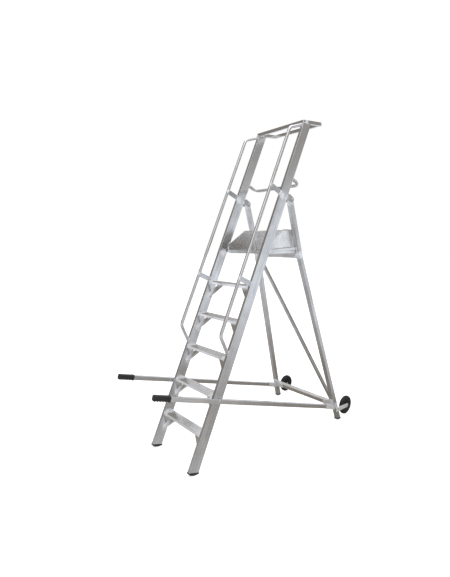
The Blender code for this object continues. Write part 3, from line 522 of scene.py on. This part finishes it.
def hex_prism(shape, centre, axis, across_flats, height):
    """A hexagon head or nut with its chamfered top, standing on the centre."""
    u, v = across_axis(axis)
    corner = across_flats / sqrt(3)
    chamfer = 0.00128
    loft(shape, [ring_of(centre + lift * axis, u, v, corner * size, 6)
                 for lift, size in ((0, 1.0), (height - chamfer, 1.0), (height, 0.88), (height, 0.55))])


def disc(shape, centre, axis, radius, height):
    u, v = across_axis(axis)
    edge = 0.0005
    loft(shape, [ring_of(centre + lift * axis, u, v, size, 32)
                 for lift, size in ((0, radius - edge), (edge, radius), (height - edge, radius),
                                    (height, radius - edge))])


def dome(shape, centre, axis, radius, height, levels=6):
    u, v = across_axis(axis)
    slopes = [pi / 2 * level / levels for level in range(levels)]
    loft(shape, [ring_of(centre + height * sin(turn) * axis, u, v, radius * cos(turn), 24)
                 for turn in slopes])


# Finishes of the CAD solids ---------------------------------------------------------------------


def both(name):
    return [name + "_" + word for word in SIDES]


def dress(material, *nodes):
    for node in nodes:
        for slot in NODES[node].material_slots:
            slot.material = material


def stile_weld_points():
    """Where treads, braces and the deck meet the inner faces of the stiles, seen from the side."""
    points = []
    for number in range(1, TREAD_COUNT + 2):
        top = number * RISE
        points.append((0, stile_front_y(top) + TREAD_DEPTH / 2, top - 0.02 + DATUM_HEIGHT))
        if number <= TREAD_COUNT:
            points.append((0, stile_front_y(top - 0.11) + 0.060, top - 0.12 + DATUM_HEIGHT))
    return points


def bracket_weld_points():
    """At the stile's front and rear edges, level with the pivot bracket."""
    return [on_stile(0, 2.115, behind) + LIFT for behind in (0.02, 0.085)]


def dress_stiles():
    stile = aluminium("stile_aluminium", ALONG_STILE, stile_weld_points(), 0.070, SIDE_VIEW, inside=0.2362,
                      light=(0.76, 0.765, 0.77), dark=(0.56, 0.56, 0.56), edge_welds=bracket_weld_points())
    plate = aluminium("plate_aluminium", BEHIND_STILE, light=(0.64, 0.65, 0.66), dark=(0.46, 0.465, 0.47))
    bracket = aluminium("bracket_aluminium", BEHIND_STILE, light=(0.58, 0.575, 0.57),
                        dark=(0.36, 0.355, 0.35))
    dress(stile, *both("stile"))
    dress(plate, *both("handrail_spacer_lower"), *both("handrail_spacer_upper"))
    dress(bracket, *both("pivot_bracket"))


def dress_treads():
    tread = aluminium("tread_aluminium", ACROSS, ((0.235, 0, 0), (-0.235, 0, 0)), 0.09, ACROSS_ONLY,
                      light=(0.95, 0.945, 0.94), dark=(0.74, 0.73, 0.72))
    brace = aluminium("brace_aluminium", Vector((1, 0, 1)).normalized(), ((-0.235, 0, 0),), 0.10,
                      ACROSS_ONLY)
    for number in range(1, TREAD_COUNT + 1):
        dress(tread, "tread_%d" % number)
        dress(brace, *both("tread_brace_%d" % number))


def dress_rear_frame():
    """Legs and the tubes between them, frosted level with the cross tube, the bearer and the pivots."""
    joints = leg_pair(0.135) + leg_pair(1.48)
    leg = aluminium("leg_aluminium", UP_LEG, joints + leg_pair(1.90), 0.075,
                    light=(0.69, 0.685, 0.68), dark=(0.47, 0.46, 0.445))
    cross = aluminium("cross_tube_aluminium", ACROSS, joints, 0.075,
                      light=(0.72, 0.69, 0.66), dark=(0.50, 0.475, 0.45))
    dress(leg, "rear_diagonal", *both("rear_leg"))
    dress(cross, "platform_bearer", "rear_cross_tube")
    dress(frosted_aluminium(), *both("rear_gusset"), *both("rail_clip"), *both("wheel_arm"))


def dress_rails():
    ends = [rail_point(side, RAIL_END_Y) + LIFT for side in SIDES.values()]
    rail = aluminium("rail_aluminium", Vector((0, 1, -RAIL_FALL)).normalized(), ends, 0.05,
                     light=(0.76, 0.75, 0.74), dark=(0.58, 0.565, 0.55))
    dress(rail, *both("push_rail"))


def dress_platform_and_tray():
    deck = aluminium("deck_aluminium", ACROSS, ((0.22, 0, 0), (-0.22, 0, 0)), 0.03, ACROSS_ONLY,
                     light=(0.76, 0.76, 0.75), dark=(0.50, 0.49, 0.48))
    side_bar = aluminium("side_bar_aluminium", BACK, ((0, 0.02, 0), (0, 0.33, 0)), 0.035, (0, 1, 0))
    tray_corners = [(x, y, 0) for x in (-0.25, 0.25) for y in (0.40, 0.60)]
    tray = aluminium("tray_aluminium", BACK, tray_corners, 0.05, (1, 1, 0),
                     light=(0.74, 0.73, 0.72), dark=(0.50, 0.49, 0.48))
    dress(deck, "platform_deck")
    dress(side_bar, *both("platform_side_bar"))
    dress(tray, "tray_frame")


# Round tubes -------------------------------------------------------------------------------------


def bent_path(corners, radius, steps=12):
    """The corners joined by straight stretches and round bends."""
    path = [corners[0]]
    for before, corner, after in zip(corners, corners[1:], corners[2:]):
        back = (before - corner).normalized()
        ahead = (after - corner).normalized()
        half_angle = back.angle(ahead) / 2
        middle = corner + (back + ahead).normalized() * radius / sin(half_angle)
        start = corner + back * radius / tan(half_angle)
        turn = back.cross(start - middle).normalized()
        for step in range(steps + 1):
            spoke = Matrix.Rotation((pi - 2 * half_angle) * step / steps, 3, turn) @ (start - middle)
            path.append(middle + spoke)
    path.append(corners[-1])
    return path


def handrail_corners(side):
    x = side * STILE_X
    end_gap = -0.001
    return [on_stile(x, HANDRAIL_FOOT, end_gap), on_stile(x, HANDRAIL_LOW_BEND, -HANDRAIL_STANDOFF),
            on_stile(x, HANDRAIL_TOP_BEND, -HANDRAIL_STANDOFF), on_stile(x, HANDRAIL_END, end_gap)]


def hoop_corners():
    along = (HOOP_Z + STILE_DEPTH * sin(LEAN)) / cos(LEAN)
    face = STILE_DEPTH + GAP
    return [on_stile(x, along, behind)
            for x, behind in ((-STILE_X, face), (-STILE_X, HOOP_REACH),
                              (STILE_X, HOOP_REACH), (STILE_X, face))]


def add_round_tube(name, corners, node, material_name, grain, **looks):
    shape = bmesh.new()
    tube(shape, bent_path(corners, TUBE_BEND), TUBE_RADIUS, 28)
    material = aluminium(material_name, grain, light=(0.70, 0.69, 0.68), dark=(0.53, 0.515, 0.50),
                         rough=0.28, grooves=0.02, **looks)
    finished(object_from(name, shape), material, replaced=(node,))


def add_round_tubes():
    for word, side in SIDES.items():
        welds = [on_stile(side * STILE_X, along, -HANDRAIL_STANDOFF) + LIFT for along in SPACERS_ALONG]
        add_round_tube("handrail_tube_" + word, handrail_corners(side), "handrail_" + word,
                       "handrail_aluminium_" + word, ALONG_STILE, welds=welds, reach=0.035)
    add_round_tube("hoop_tube", hoop_corners(), "knee_hoop", "hoop_aluminium", ACROSS)


# Toe board ----------------------------------------------------------------------------------------

TOE_HALF_WIDTH = 0.2236
TOE_FRONT_Y = 0.0112
TOE_REAR_Y = 0.3120
TOE_CORNER = 0.0065
TOE_LEAN = 0.185
TOE_LOW = DECK_TOP - 0.022
TOE_HIGH = DECK_TOP + 0.168
TOE_FRONT_HIGH = DECK_TOP + 0.053
TOE_SLOPE_RISE = 0.115
TOE_SLOPE_RUN = 0.177
TOE_SHEET = 0.003
NOTCH_HALF_WIDTH = 0.205      # of the part at the rear that stands on the deck
NOTCH_EDGE = 0.0003


def toe_board_path():
    """The sheet's middle line, seen from above, from its right end round to its left."""
    half, rear, corner = TOE_HALF_WIDTH, TOE_REAR_Y, TOE_CORNER
    side_steps, corner_steps, rear_steps = 24, 10, 12
    path = [(half, TOE_FRONT_Y + (rear - corner - TOE_FRONT_Y) * k / side_steps)
            for k in range(side_steps + 1)]
    path += [(half - corner + corner * cos(a), rear - corner + corner * sin(a))
             for a in (pi / 2 * k / corner_steps for k in range(1, corner_steps + 1))]
    inner = NOTCH_HALF_WIDTH - NOTCH_EDGE
    path += [(NOTCH_HALF_WIDTH + NOTCH_EDGE, rear), (inner, rear)]
    path += [(inner - inner * k / rear_steps, rear) for k in range(1, rear_steps + 1)]
    return path + [(-x, y) for x, y in reversed(path[:-1])]


def toe_board_top(y):
    if y < TOE_FRONT_Y + TOE_SLOPE_RUN:
        return TOE_FRONT_HIGH + (y - TOE_FRONT_Y) * TOE_SLOPE_RISE / TOE_SLOPE_RUN
    return TOE_HIGH


def toe_board_foot(x, y):
    on_the_deck = abs(x) < NOTCH_HALF_WIDTH and y > TOE_REAR_Y - 0.005
    return DECK_TOP + GAP if on_the_deck else TOE_LOW


def add_toe_board():
    """One bent sheet round three sides of the deck; towards the rear its top leans forward."""
    rows = 14
    shape = bmesh.new()
    columns = []
    for x, y in toe_board_path():
        top, foot = toe_board_top(y), toe_board_foot(x, y)
        lean = max((y - TOE_FRONT_Y) / (TOE_REAR_Y - TOE_FRONT_Y), 0) * TOE_LEAN
        heights = [foot + (top - foot) * k / rows for k in range(rows + 1)]
        columns.append([shape.verts.new((x, y + lean * (TOE_HIGH - z), z)) for z in heights])
    for left, right in zip(columns, columns[1:]):
        for k in range(rows):
            shape.faces.new((left[k], right[k], right[k + 1], left[k + 1]))
    board = object_from("toe_board_sheet", shape)
    bpy.context.scene.collection.objects.link(board)
    solid = board.modifiers.new("sheet", "SOLIDIFY")
    solid.thickness = TOE_SHEET
    solid.offset = 0
    edge = board.modifiers.new("edge", "BEVEL")
    edge.width = 0.0007
    edge.segments = 2
    edge.angle_limit = radians(50)
    # Painted highlight: the white bloom is centred on the two rear bends of the sheet, which have no weld.
    bend_highlight_points = [(-TOE_HALF_WIDTH, TOE_REAR_Y, 0), (TOE_HALF_WIDTH, TOE_REAR_Y, 0)]
    material = aluminium("toe_board_aluminium", ACROSS, bend_highlight_points, 0.035, (1, 1, 0), rough=0.24, grooves=0.05,
                         light=(0.93, 0.92, 0.91), dark=(0.70, 0.69, 0.68))
    finished(board, material, replaced=("toe_board",), angle=30)


# Welds --------------------------------------------------------------------------------------------

SMALL_BEAD = 0.0022
TREAD_BEAD = 0.0026
FRAME_BEAD = 0.0027
SPACER_HALF = (0.019, 0.0025)   # of a spacer plate, along the stile and across


def weld_group(name, loops, radius):
    """One piece of several beads; a loop is its points and whether it closes."""
    shape = bmesh.new()
    for points, closed in loops:
        bead(shape, points, radius, closed)
    finished(object_from(name, shape), WELD, angle=60)


def brace_front_y(underside):
    return stile_front_y(underside) + BRACE_SETBACK / cos(LEAN)


def tread_loops(number, side):
    """Round the end of a tread, and round both ends of its brace."""
    top = number * RISE
    wall = side * STILE_INNER_X
    centre = Vector((wall, stile_front_y(top) + TREAD_DEPTH / 2, top - TREAD_HEIGHT / 2))
    underside = top - TREAD_HEIGHT
    front = brace_front_y(underside)
    half_width = BRACE_WIDTH / 2
    half_y = BRACE_DEPTH / 2 / cos(LEAN)
    upper = Vector((side * (STILE_INNER_X - BRACE_REACH + half_width), front + half_y, underside))
    origin = Vector((wall, front, underside)) + BRACE_DEPTH / 2 * BEHIND_STILE
    lower = origin + (half_width - BRACE_REACH) * ALONG_STILE
    return [(rectangle_loop(centre, BACK, UP, TREAD_DEPTH / 2, TREAD_HEIGHT / 2), True),
            (rectangle_loop(upper, ACROSS, BACK, half_width, half_y), True),
            (rectangle_loop(lower, ALONG_STILE, BEHIND_STILE, half_width, BRACE_DEPTH / 2), True)]


def handrail_loops(side):
    """Round both edges of each spacer plate, and round the tube's ends at the stile."""
    loops = []
    for along in SPACERS_ALONG:
        for behind in (-0.0005, -HANDRAIL_STANDOFF + TUBE_RADIUS):
            centre = on_stile(side * STILE_X, along, behind)
            loops.append((rectangle_loop(centre, ALONG_STILE, ACROSS, *SPACER_HALF), True))
    corners = handrail_corners(side)
    for end, inward in ((corners[0], corners[1]), (corners[3], corners[2])):
        half = TUBE_RADIUS / abs((inward - end).normalized().dot(BEHIND_STILE))
        loops.append((ellipse_loop(end, ACROSS, ALONG_STILE, TUBE_RADIUS * 0.94, half), True))
    return loops


def hoop_loops(side):
    end = hoop_corners()[0 if side < 0 else 3]
    return [(ellipse_loop(end, ACROSS, ALONG_STILE, TUBE_RADIUS * 0.95, TUBE_RADIUS), True)]


def tray_loops(side):
    """Where the cut top of the stile meets the tray frame."""
    top = on_stile(side * STILE_X, TRAY_FRONT_Z / cos(LEAN), STILE_DEPTH / 2)
    top.z = TRAY_FRONT_Z + 0.0035
    return [(rectangle_loop(top, BACK, ACROSS, STILE_DEPTH / 2 / cos(LEAN), 0.0115), True)]


def rear_loops(side):
    """Where bearer, cross tube and side bar meet leg and stile."""
    half = LEG_SIZE / 2
    bearer = leg_centre(side, BEARER_Z)
    bearer.x = side * (LEG_TOP_X - half - GAP)
    cross = leg_centre(side, CROSS_TUBE_Z)
    cross.x -= side * half
    bar_front = Vector((side * SIDE_BAR_X, 0.0105, DECK_TOP))
    bar_rear = leg_centre(side, 1.520) - half * BEHIND_LEG
    bar_rear.x = side * SIDE_BAR_X
    return [(rectangle_loop(bearer, BACK, UP, half, half), True),
            (rectangle_loop(cross, BEHIND_LEG, UP_LEG, half, half), True),
            (rectangle_loop(bar_front, ACROSS, ALONG_STILE, 0.010, 0.0135), True),
            (rectangle_loop(bar_rear, ACROSS, UP_LEG, 0.010, 0.0125), True)]


def bracket_loops(side):
    """Down both sides of the pivot bracket, on the back of the stile."""
    pivot = leg_centre(side, PIVOT_Z)
    base = pivot - ((pivot - on_stile(0, 0, STILE_DEPTH)).dot(BEHIND_STILE)) * BEHIND_STILE
    base.x = side * STILE_X - side * 0.0005
    return [([base + s * 0.025 * ALONG_STILE + offset * ACROSS for s in (-1, 1)], False)
            for offset in (-side * 0.012, side * 0.0115)]


def add_welds():
    for number in range(1, TREAD_COUNT + 1):
        weld_group("welds_tread_%d" % number, tread_loops(number, -1) + tread_loops(number, 1), TREAD_BEAD)
    for word, side in SIDES.items():
        weld_group("welds_handrail_" + word, handrail_loops(side), SMALL_BEAD)
        weld_group("welds_hoop_" + word, hoop_loops(side), SMALL_BEAD)
        weld_group("welds_tray_" + word, tray_loops(side), SMALL_BEAD)
        weld_group("welds_rear_" + word, rear_loops(side), FRAME_BEAD)
        weld_group("welds_bracket_" + word, bracket_loops(side), SMALL_BEAD)


# Rivets and bolts -----------------------------------------------------------------------------------

RIVET_FROM_STILE = 0.084
RIVET_DROP = 0.013            # along the stile, below the tread
WASHER_HEIGHT = 0.0013
AXLE_INSET = 0.006            # from the ends of the axle bolt's box to its washers


def add_rivets():
    """One on the front of each tread brace."""
    for word, side in SIDES.items():
        shape = bmesh.new()
        for number in range(1, TREAD_COUNT + 1):
            underside = number * RISE - TREAD_HEIGHT
            base = Vector((side * (STILE_INNER_X - RIVET_FROM_STILE), brace_front_y(underside), underside))
            base -= RIVET_DROP * ALONG_STILE
            disc(shape, base + 0.0002 * BEHIND_STILE, -BEHIND_STILE, radius=0.0048, height=0.0011)
            dome(shape, base - 0.0008 * BEHIND_STILE, -BEHIND_STILE, radius=0.0034, height=0.0018)
        finished(object_from("rivets_" + word, shape), STEEL)


def add_pivot_bolt(word, side):
    """Through bracket and leg, with a washer and a hexagon on each side."""
    pivot = leg_centre(side, PIVOT_Z)
    half_length = LEG_SIZE / 2 + BRACKET_PLATE + 3 * GAP
    shape = bmesh.new()
    lathe(shape, [(0.006, -half_length), (0.006, half_length)], pivot, 32)
    for axis in (-ACROSS, ACROSS):
        face = pivot + half_length * axis
        disc(shape, face - 0.0001 * axis, axis, radius=0.0105, height=WASHER_HEIGHT)
        hex_prism(shape, face + 0.0010 * axis, axis, across_flats=0.0165, height=0.0052)
    finished(object_from("pivot_bolt_hex_" + word, shape), STEEL,
             replaced=("pivot_bolt_" + word,))


def add_rail_bolt(word, side):
    """A dome head on a washer, outside the push rail."""
    low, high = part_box("rail_bolt_" + word)
    rail_face = max(abs(low.x), abs(high.x)) - 0.005
    nut_x = 0.2575
    axis = side * ACROSS
    face = (low + high) / 2 - LIFT
    face.x = side * rail_face
    shape = bmesh.new()
    lathe(shape, [(0.004, 0), (0.004, -side * (rail_face - nut_x))], face, 24)
    disc(shape, face - 0.0012 * axis, axis, radius=0.0085, height=0.0015)
    dome(shape, face + 0.0003 * axis, axis, radius=0.0068, height=0.0044)
    finished(object_from("rail_bolt_dome_" + word, shape), STEEL,
             replaced=("rail_bolt_" + word,))


def add_axle_bolt(word, side):
    """Through wheel and arm, with a washer and a hexagon at each end."""
    low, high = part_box("axle_bolt_" + word)
    near, far = sorted((abs(low.x), abs(high.x)))
    length = far - AXLE_INSET - near - AXLE_INSET
    start = (low + high) / 2 - LIFT
    start.x = side * (near + AXLE_INSET)
    axis = side * ACROSS
    shape = bmesh.new()
    lathe(shape, [(0.0058, 0), (0.0058, side * length)], start, 32)
    for face, way in ((start + side * length * ACROSS, axis), (start, -axis)):
        disc(shape, face, way, radius=0.0098, height=WASHER_HEIGHT)
        hex_prism(shape, face + 0.0011 * way, way, across_flats=0.0155, height=0.0046)
    finished(object_from("axle_bolt_hex_" + word, shape), STEEL,
             replaced=("axle_bolt_" + word,))


def add_bolts():
    for word, side in SIDES.items():
        add_pivot_bolt(word, side)
        add_rail_bolt(word, side)
        add_axle_bolt(word, side)


# Grips and feet -----------------------------------------------------------------------------------

GRIP_LENGTH = 0.114           # along Y
GRIP_HALF = 0.0195
GRIP_CORNER = 0.0105
GRIP_WAVES = 5

SHOE_BACK = 0.0796
SHOE_FRONT = -0.0020
SHOE_SIDES = [                # how far the outline is drawn in, and x from the stile's middle
    (0.0022, -0.0145), (0.0006, -0.0141), (0.0, -0.0130), (0.0, 0.0130), (0.0006, 0.0141), (0.0022, 0.0145),
]
SOLE = [                      # back from the stile's front edge, and height
    (SHOE_FRONT, 0.0100), (-0.0006, 0.0062), (0.0024, 0.0026), (0.0100, -0.0020), (0.0170, -0.0052),
    (0.0240, -0.0080), (0.0310, -0.0104), (0.0380, -0.0125), (0.0440, -0.0137), (0.0500, -0.0140),
    (0.0560, -0.0140), (0.0620, -0.0140), (0.0680, -0.0140), (0.0740, -0.0140), (0.0770, -0.0132),
    (0.0790, -0.0115), (SHOE_BACK, -0.0095),
]
REAR_SHOE = [                 # height above the floor, half width, half depth, corner
    (0.0, 0.0165, 0.0175, 0.005), (0.0014, 0.0190, 0.0200, 0.006), (0.0040, 0.0205, 0.0215, 0.006),
    (0.0085, 0.0210, 0.0220, 0.005), (0.0095, 0.0200, 0.0210, 0.005), (0.0105, 0.0210, 0.0220, 0.005),
    (0.0130, 0.0210, 0.0220, 0.005), (0.0138, 0.0204, 0.0214, 0.005),
]


def grip_ring(centre, u, v, t):
    """The grip's section at a share t of its length, from its domed end to its collar."""
    nose = min(1.0, sqrt(max(0.0, 1 - (1 - min(t / 0.07, 1)) ** 2)) * 0.45 + 0.55)
    collar = 1.0 if t < 0.93 else 1.07
    wave = 0.5 - 0.5 * cos(2 * pi * GRIP_WAVES * (t - 0.10) / 0.80) if 0.10 < t < 0.90 else 0.0
    half, corner = GRIP_HALF * nose * collar, GRIP_CORNER * nose * collar
    ring = []
    for a, b in rounded_section(half, half, corner, 6):
        dip = 0.0030 * wave * max(0.0, -b / GRIP_HALF) if b < 0 else 0.0
        ring.append(centre + a * (1 - 0.05 * wave) * u + (b + dip) * v)
    return ring


def add_grips():
    """Moulded sleeves with finger waves underneath, a collar at the back and a domed end."""
    count = 84
    for word, side in SIDES.items():
        start = rail_point(side, RAIL_FRONT_Y)
        end = rail_point(side, RAIL_FRONT_Y + GRIP_LENGTH)
        way = (end - start).normalized()
        length = (end - start).length
        u = (ACROSS - ACROSS.dot(way) * way).normalized()
        v = way.cross(u)
        if v.z < 0:
            v = -v
        shape = bmesh.new()
        shares = [k / count for k in range(count + 1)]
        loft(shape, [grip_ring(start + length * t * way, u, v, t) for t in shares])
        finished(object_from("grip_" + word, shape), GRIP_RUBBER,
                 replaced=("rail_grip_" + word,), angle=50)


def sole_points():
    """The sole's outline in short straight steps, close enough to carry grooves."""
    return [(point.x, point.y) for point in resampled([Vector((back, z, 0)) for back, z in SOLE], 0.0024)]


def shoe_ring(x, inset):
    """The front shoe's outline at one x: forward along the sole, and back under the stile's cut end."""
    slope = tan(STILE_END_SLOPE)
    front = stile_front_y(STILE_END_Z)
    ring = []
    for k, (back, z) in enumerate(sole_points()):
        groove = 0.0009 if k % 3 == 1 and 0.012 < back < 0.074 else 0.0
        level = STILE_END_Z - back * slope - 0.0004
        ring.append(Vector((x, front + back, min(z + inset + groove, level))))
    for back in (SHOE_BACK - inset, 0.060, 0.040, 0.020, SHOE_FRONT + inset):
        ring.append(Vector((x, front + back, STILE_END_Z - back * slope - GAP)))
    return ring


def add_front_feet():
    """A moulded cap under the stile's cut end, with a convex sole crossed by grooves."""
    for word, side in SIDES.items():
        shape = bmesh.new()
        loft(shape, [shoe_ring(side * STILE_X + x, inset) for inset, x in SHOE_SIDES])
        finished(object_from("front_shoe_" + word, shape), FOOT_RUBBER,
                 replaced=("stile_foot_" + word,), angle=40)


def add_rear_feet():
    """A square cap under the leg, with a groove round it."""
    for word, side in SIDES.items():
        centre = leg_centre(side, -0.007)
        rings = []
        for z, half_x, half_y, corner in REAR_SHOE:
            centre.z = z - DATUM_HEIGHT
            rings.append([centre + Vector((a, b, 0)) for a, b in rounded_section(half_x, half_y, corner, 5)])
        shape = bmesh.new()
        loft(shape, rings)
        finished(object_from("rear_shoe_" + word, shape), FOOT_RUBBER,
                 replaced=("rear_foot_" + word,), angle=40)


# Wheels ---------------------------------------------------------------------------------------------

WHEEL_X = 0.36
WHEEL_Y = 0.919
WHEEL_Z = 0.084
WHEEL_HALF = 0.015
WHEEL_RADIUS = 0.083
TYRE_INNER = 0.0486
TYRE_FLANK = [                # radius, and x from the wheel's face; from the hub out to the tread
    (TYRE_INNER, 0.003), (0.0520, 0.0012), (0.0625, 0.0008), (0.0637, 0.0022), (0.0661, 0.0022),
    (0.0673, 0.0006), (0.0730, 0.0010), (0.0775, 0.0028), (0.0805, 0.0052), (0.0820, 0.0080),
    (0.0805, 0.0092), (0.0805, 0.0102), (0.0826, 0.0112), (WHEEL_RADIUS, 0.0135),
]
HUB_FACE = [                  # the same, from the bore out to the rim
    (0.0064, 0), (0.0135, 0), (0.0150, 0.0012), (0.0165, 0.0070), (0.0360, 0.0085), (0.0420, 0.0070),
    (0.0435, 0.0030), (0.0445, 0.0020), (0.0478, 0.0020),
]
HUB_RIBS = 8
RIB_ENDS = (0.0150, 0.0430)
RIB_LEVELS = ((0.0068, 0.0026), (0.0022, 0.0019), (0.0016, 0.0012))     # in from the face, half width


def from_face(flank):
    return [(radius, WHEEL_HALF - x) for radius, x in flank]


def add_tyre(word, centre):
    """Solid rubber with grooves in its shoulders."""
    shape = bmesh.new()
    seat = [(TYRE_INNER, -WHEEL_HALF + 0.006), (TYRE_INNER, WHEEL_HALF - 0.006)]
    lathe(shape, mirrored(from_face(TYRE_FLANK)) + seat, centre, 96, closed=True)
    finished(object_from("tyre_" + word, shape), TYRE_RUBBER, "wheel_" + word,
             replaced=("wheel_tyre_" + word,), angle=30)


def add_hub(word, centre):
    """A plastic web between boss and rim, with ribs on both faces."""
    shape = bmesh.new()
    lathe(shape, mirrored(from_face(HUB_FACE)), centre, 64, closed=True)
    inner, outer = RIB_ENDS
    for rib in range(HUB_RIBS):
        angle = 2 * pi * (rib + 0.5) / HUB_RIBS
        out = Vector((0, cos(angle), sin(angle)))
        across = Vector((0, -sin(angle), cos(angle)))
        for face in (-1, 1):
            rings = []
            for lift, width in RIB_LEVELS:
                at = centre + face * (WHEEL_HALF - lift) * ACROSS
                rings.append([at + inner * out - width * across, at + inner * out + width * across,
                              at + outer * out + width * across, at + outer * out - width * across])
            loft(shape, rings)
    finished(object_from("hub_" + word, shape), HUB_PLASTIC, "wheel_" + word,
             replaced=("wheel_hub_" + word,), angle=30)


def add_wheels():
    for word, side in SIDES.items():
        centre = Vector((side * WHEEL_X, WHEEL_Y, WHEEL_Z))
        add_tyre(word, centre)
        add_hub(word, centre)


# Floor, light and camera ------------------------------------------------------------------------------


def add_stage():
    shape = bmesh.new()
    bmesh.ops.create_grid(shape, x_segments=2, y_segments=2, size=40)
    floor = object_from("floor", shape, lifted=False)
    bpy.context.scene.collection.objects.link(floor)
    floor.location.z = -0.0005
    floor.data.materials.append(floor_finish())


def add_light(name, place, target, size, power):
    data = bpy.data.lights.new(name, "AREA")
    data.shape = "RECTANGLE"
    data.size = data.size_y = size
    data.energy = power
    data.color = LIGHT_COLOUR
    light = bpy.data.objects.new(name, data)
    light.location = place
    light.rotation_euler = (Vector(target) - Vector(place)).to_track_quat("-Z", "Y").to_euler()
    light.visible_camera = False
    bpy.context.scene.collection.objects.link(light)


def with_panel(tree, place, colour, panel):
    """The colour of the room with a softly edged panel in one direction."""
    direction, start, full, shade = panel
    toward = tree.nodes.new("ShaderNodeVectorMath")
    toward.operation = "DOT_PRODUCT"
    toward.inputs[1].default_value = Vector(direction).normalized()
    tree.links.new(place, toward.inputs[0])
    share = tree.nodes.new("ShaderNodeMapRange")
    share.interpolation_type = "SMOOTHSTEP"
    share.inputs[1].default_value = start
    share.inputs[2].default_value = full
    tree.links.new(toward.outputs["Value"], share.inputs[0])
    blend = tree.nodes.new("ShaderNodeMix")
    blend.data_type = "RGBA"
    tree.links.new(share.outputs[0], blend.inputs[0])
    tree.links.new(colour, blend.inputs[6])
    blend.inputs[7].default_value = shade
    return blend.outputs[2]


def add_world():
    """White behind the object; greys round the room for the metal to reflect."""
    world = bpy.data.worlds.new("studio")
    bpy.context.scene.world = world
    world.use_nodes = True
    tree = world.node_tree
    tree.nodes.clear()
    place = tree.nodes.new("ShaderNodeTexCoord").outputs["Generated"]
    split = tree.nodes.new("ShaderNodeSeparateXYZ")
    tree.links.new(place, split.inputs[0])
    ramp = tree.nodes.new("ShaderNodeValToRGB")
    tree.links.new(split.outputs["Z"], ramp.inputs["Fac"])
    set_stops(ramp.color_ramp.elements, ROOM_TONES)
    colour = ramp.outputs["Color"]
    for panel in ROOM_PANELS:
        colour = with_panel(tree, place, colour, panel)
    rays = tree.nodes.new("ShaderNodeLightPath")
    room = tree.nodes.new("ShaderNodeBackground")
    white = tree.nodes.new("ShaderNodeBackground")
    mix = tree.nodes.new("ShaderNodeMixShader")
    output = tree.nodes.new("ShaderNodeOutputWorld")
    tree.links.new(colour, room.inputs["Color"])
    white.inputs["Color"].default_value = (1, 1, 1, 1)
    tree.links.new(rays.outputs["Is Camera Ray"], mix.inputs[0])
    tree.links.new(room.outputs[0], mix.inputs[1])
    tree.links.new(white.outputs[0], mix.inputs[2])
    tree.links.new(mix.outputs[0], output.inputs["Surface"])


def add_camera():
    data = bpy.data.cameras.new("camera")
    data.lens = CAMERA_LENS
    data.sensor_width = CAMERA_SENSOR
    data.sensor_fit = "AUTO"
    camera = bpy.data.objects.new("camera", data)
    camera.location = CAMERA_PLACE
    ahead = Vector((-sin(CAMERA_YAW) * cos(CAMERA_PITCH), cos(CAMERA_YAW) * cos(CAMERA_PITCH),
                    sin(CAMERA_PITCH)))
    camera.rotation_euler = ahead.to_track_quat("-Z", "Y").to_euler()
    bpy.context.scene.collection.objects.link(camera)
    bpy.context.scene.camera = camera


# Build ------------------------------------------------------------------------------------------------

dress_stiles()
dress_treads()
dress_rear_frame()
dress_rails()
dress_platform_and_tray()
add_round_tubes()
add_toe_board()
add_welds()
add_rivets()
add_bolts()
add_grips()
add_front_feet()
add_rear_feet()
add_wheels()
add_stage()
add_world()
add_light("key", place=(2.6, -3.2, 3.6), target=(0, 0, 1.2), size=3.2, power=26)
add_light("overhead", place=(0.6, 0.4, 5.0), target=(0, 0, 1.0), size=3.4, power=50)
add_camera()
bpy.context.scene.view_settings.view_transform = "Standard"
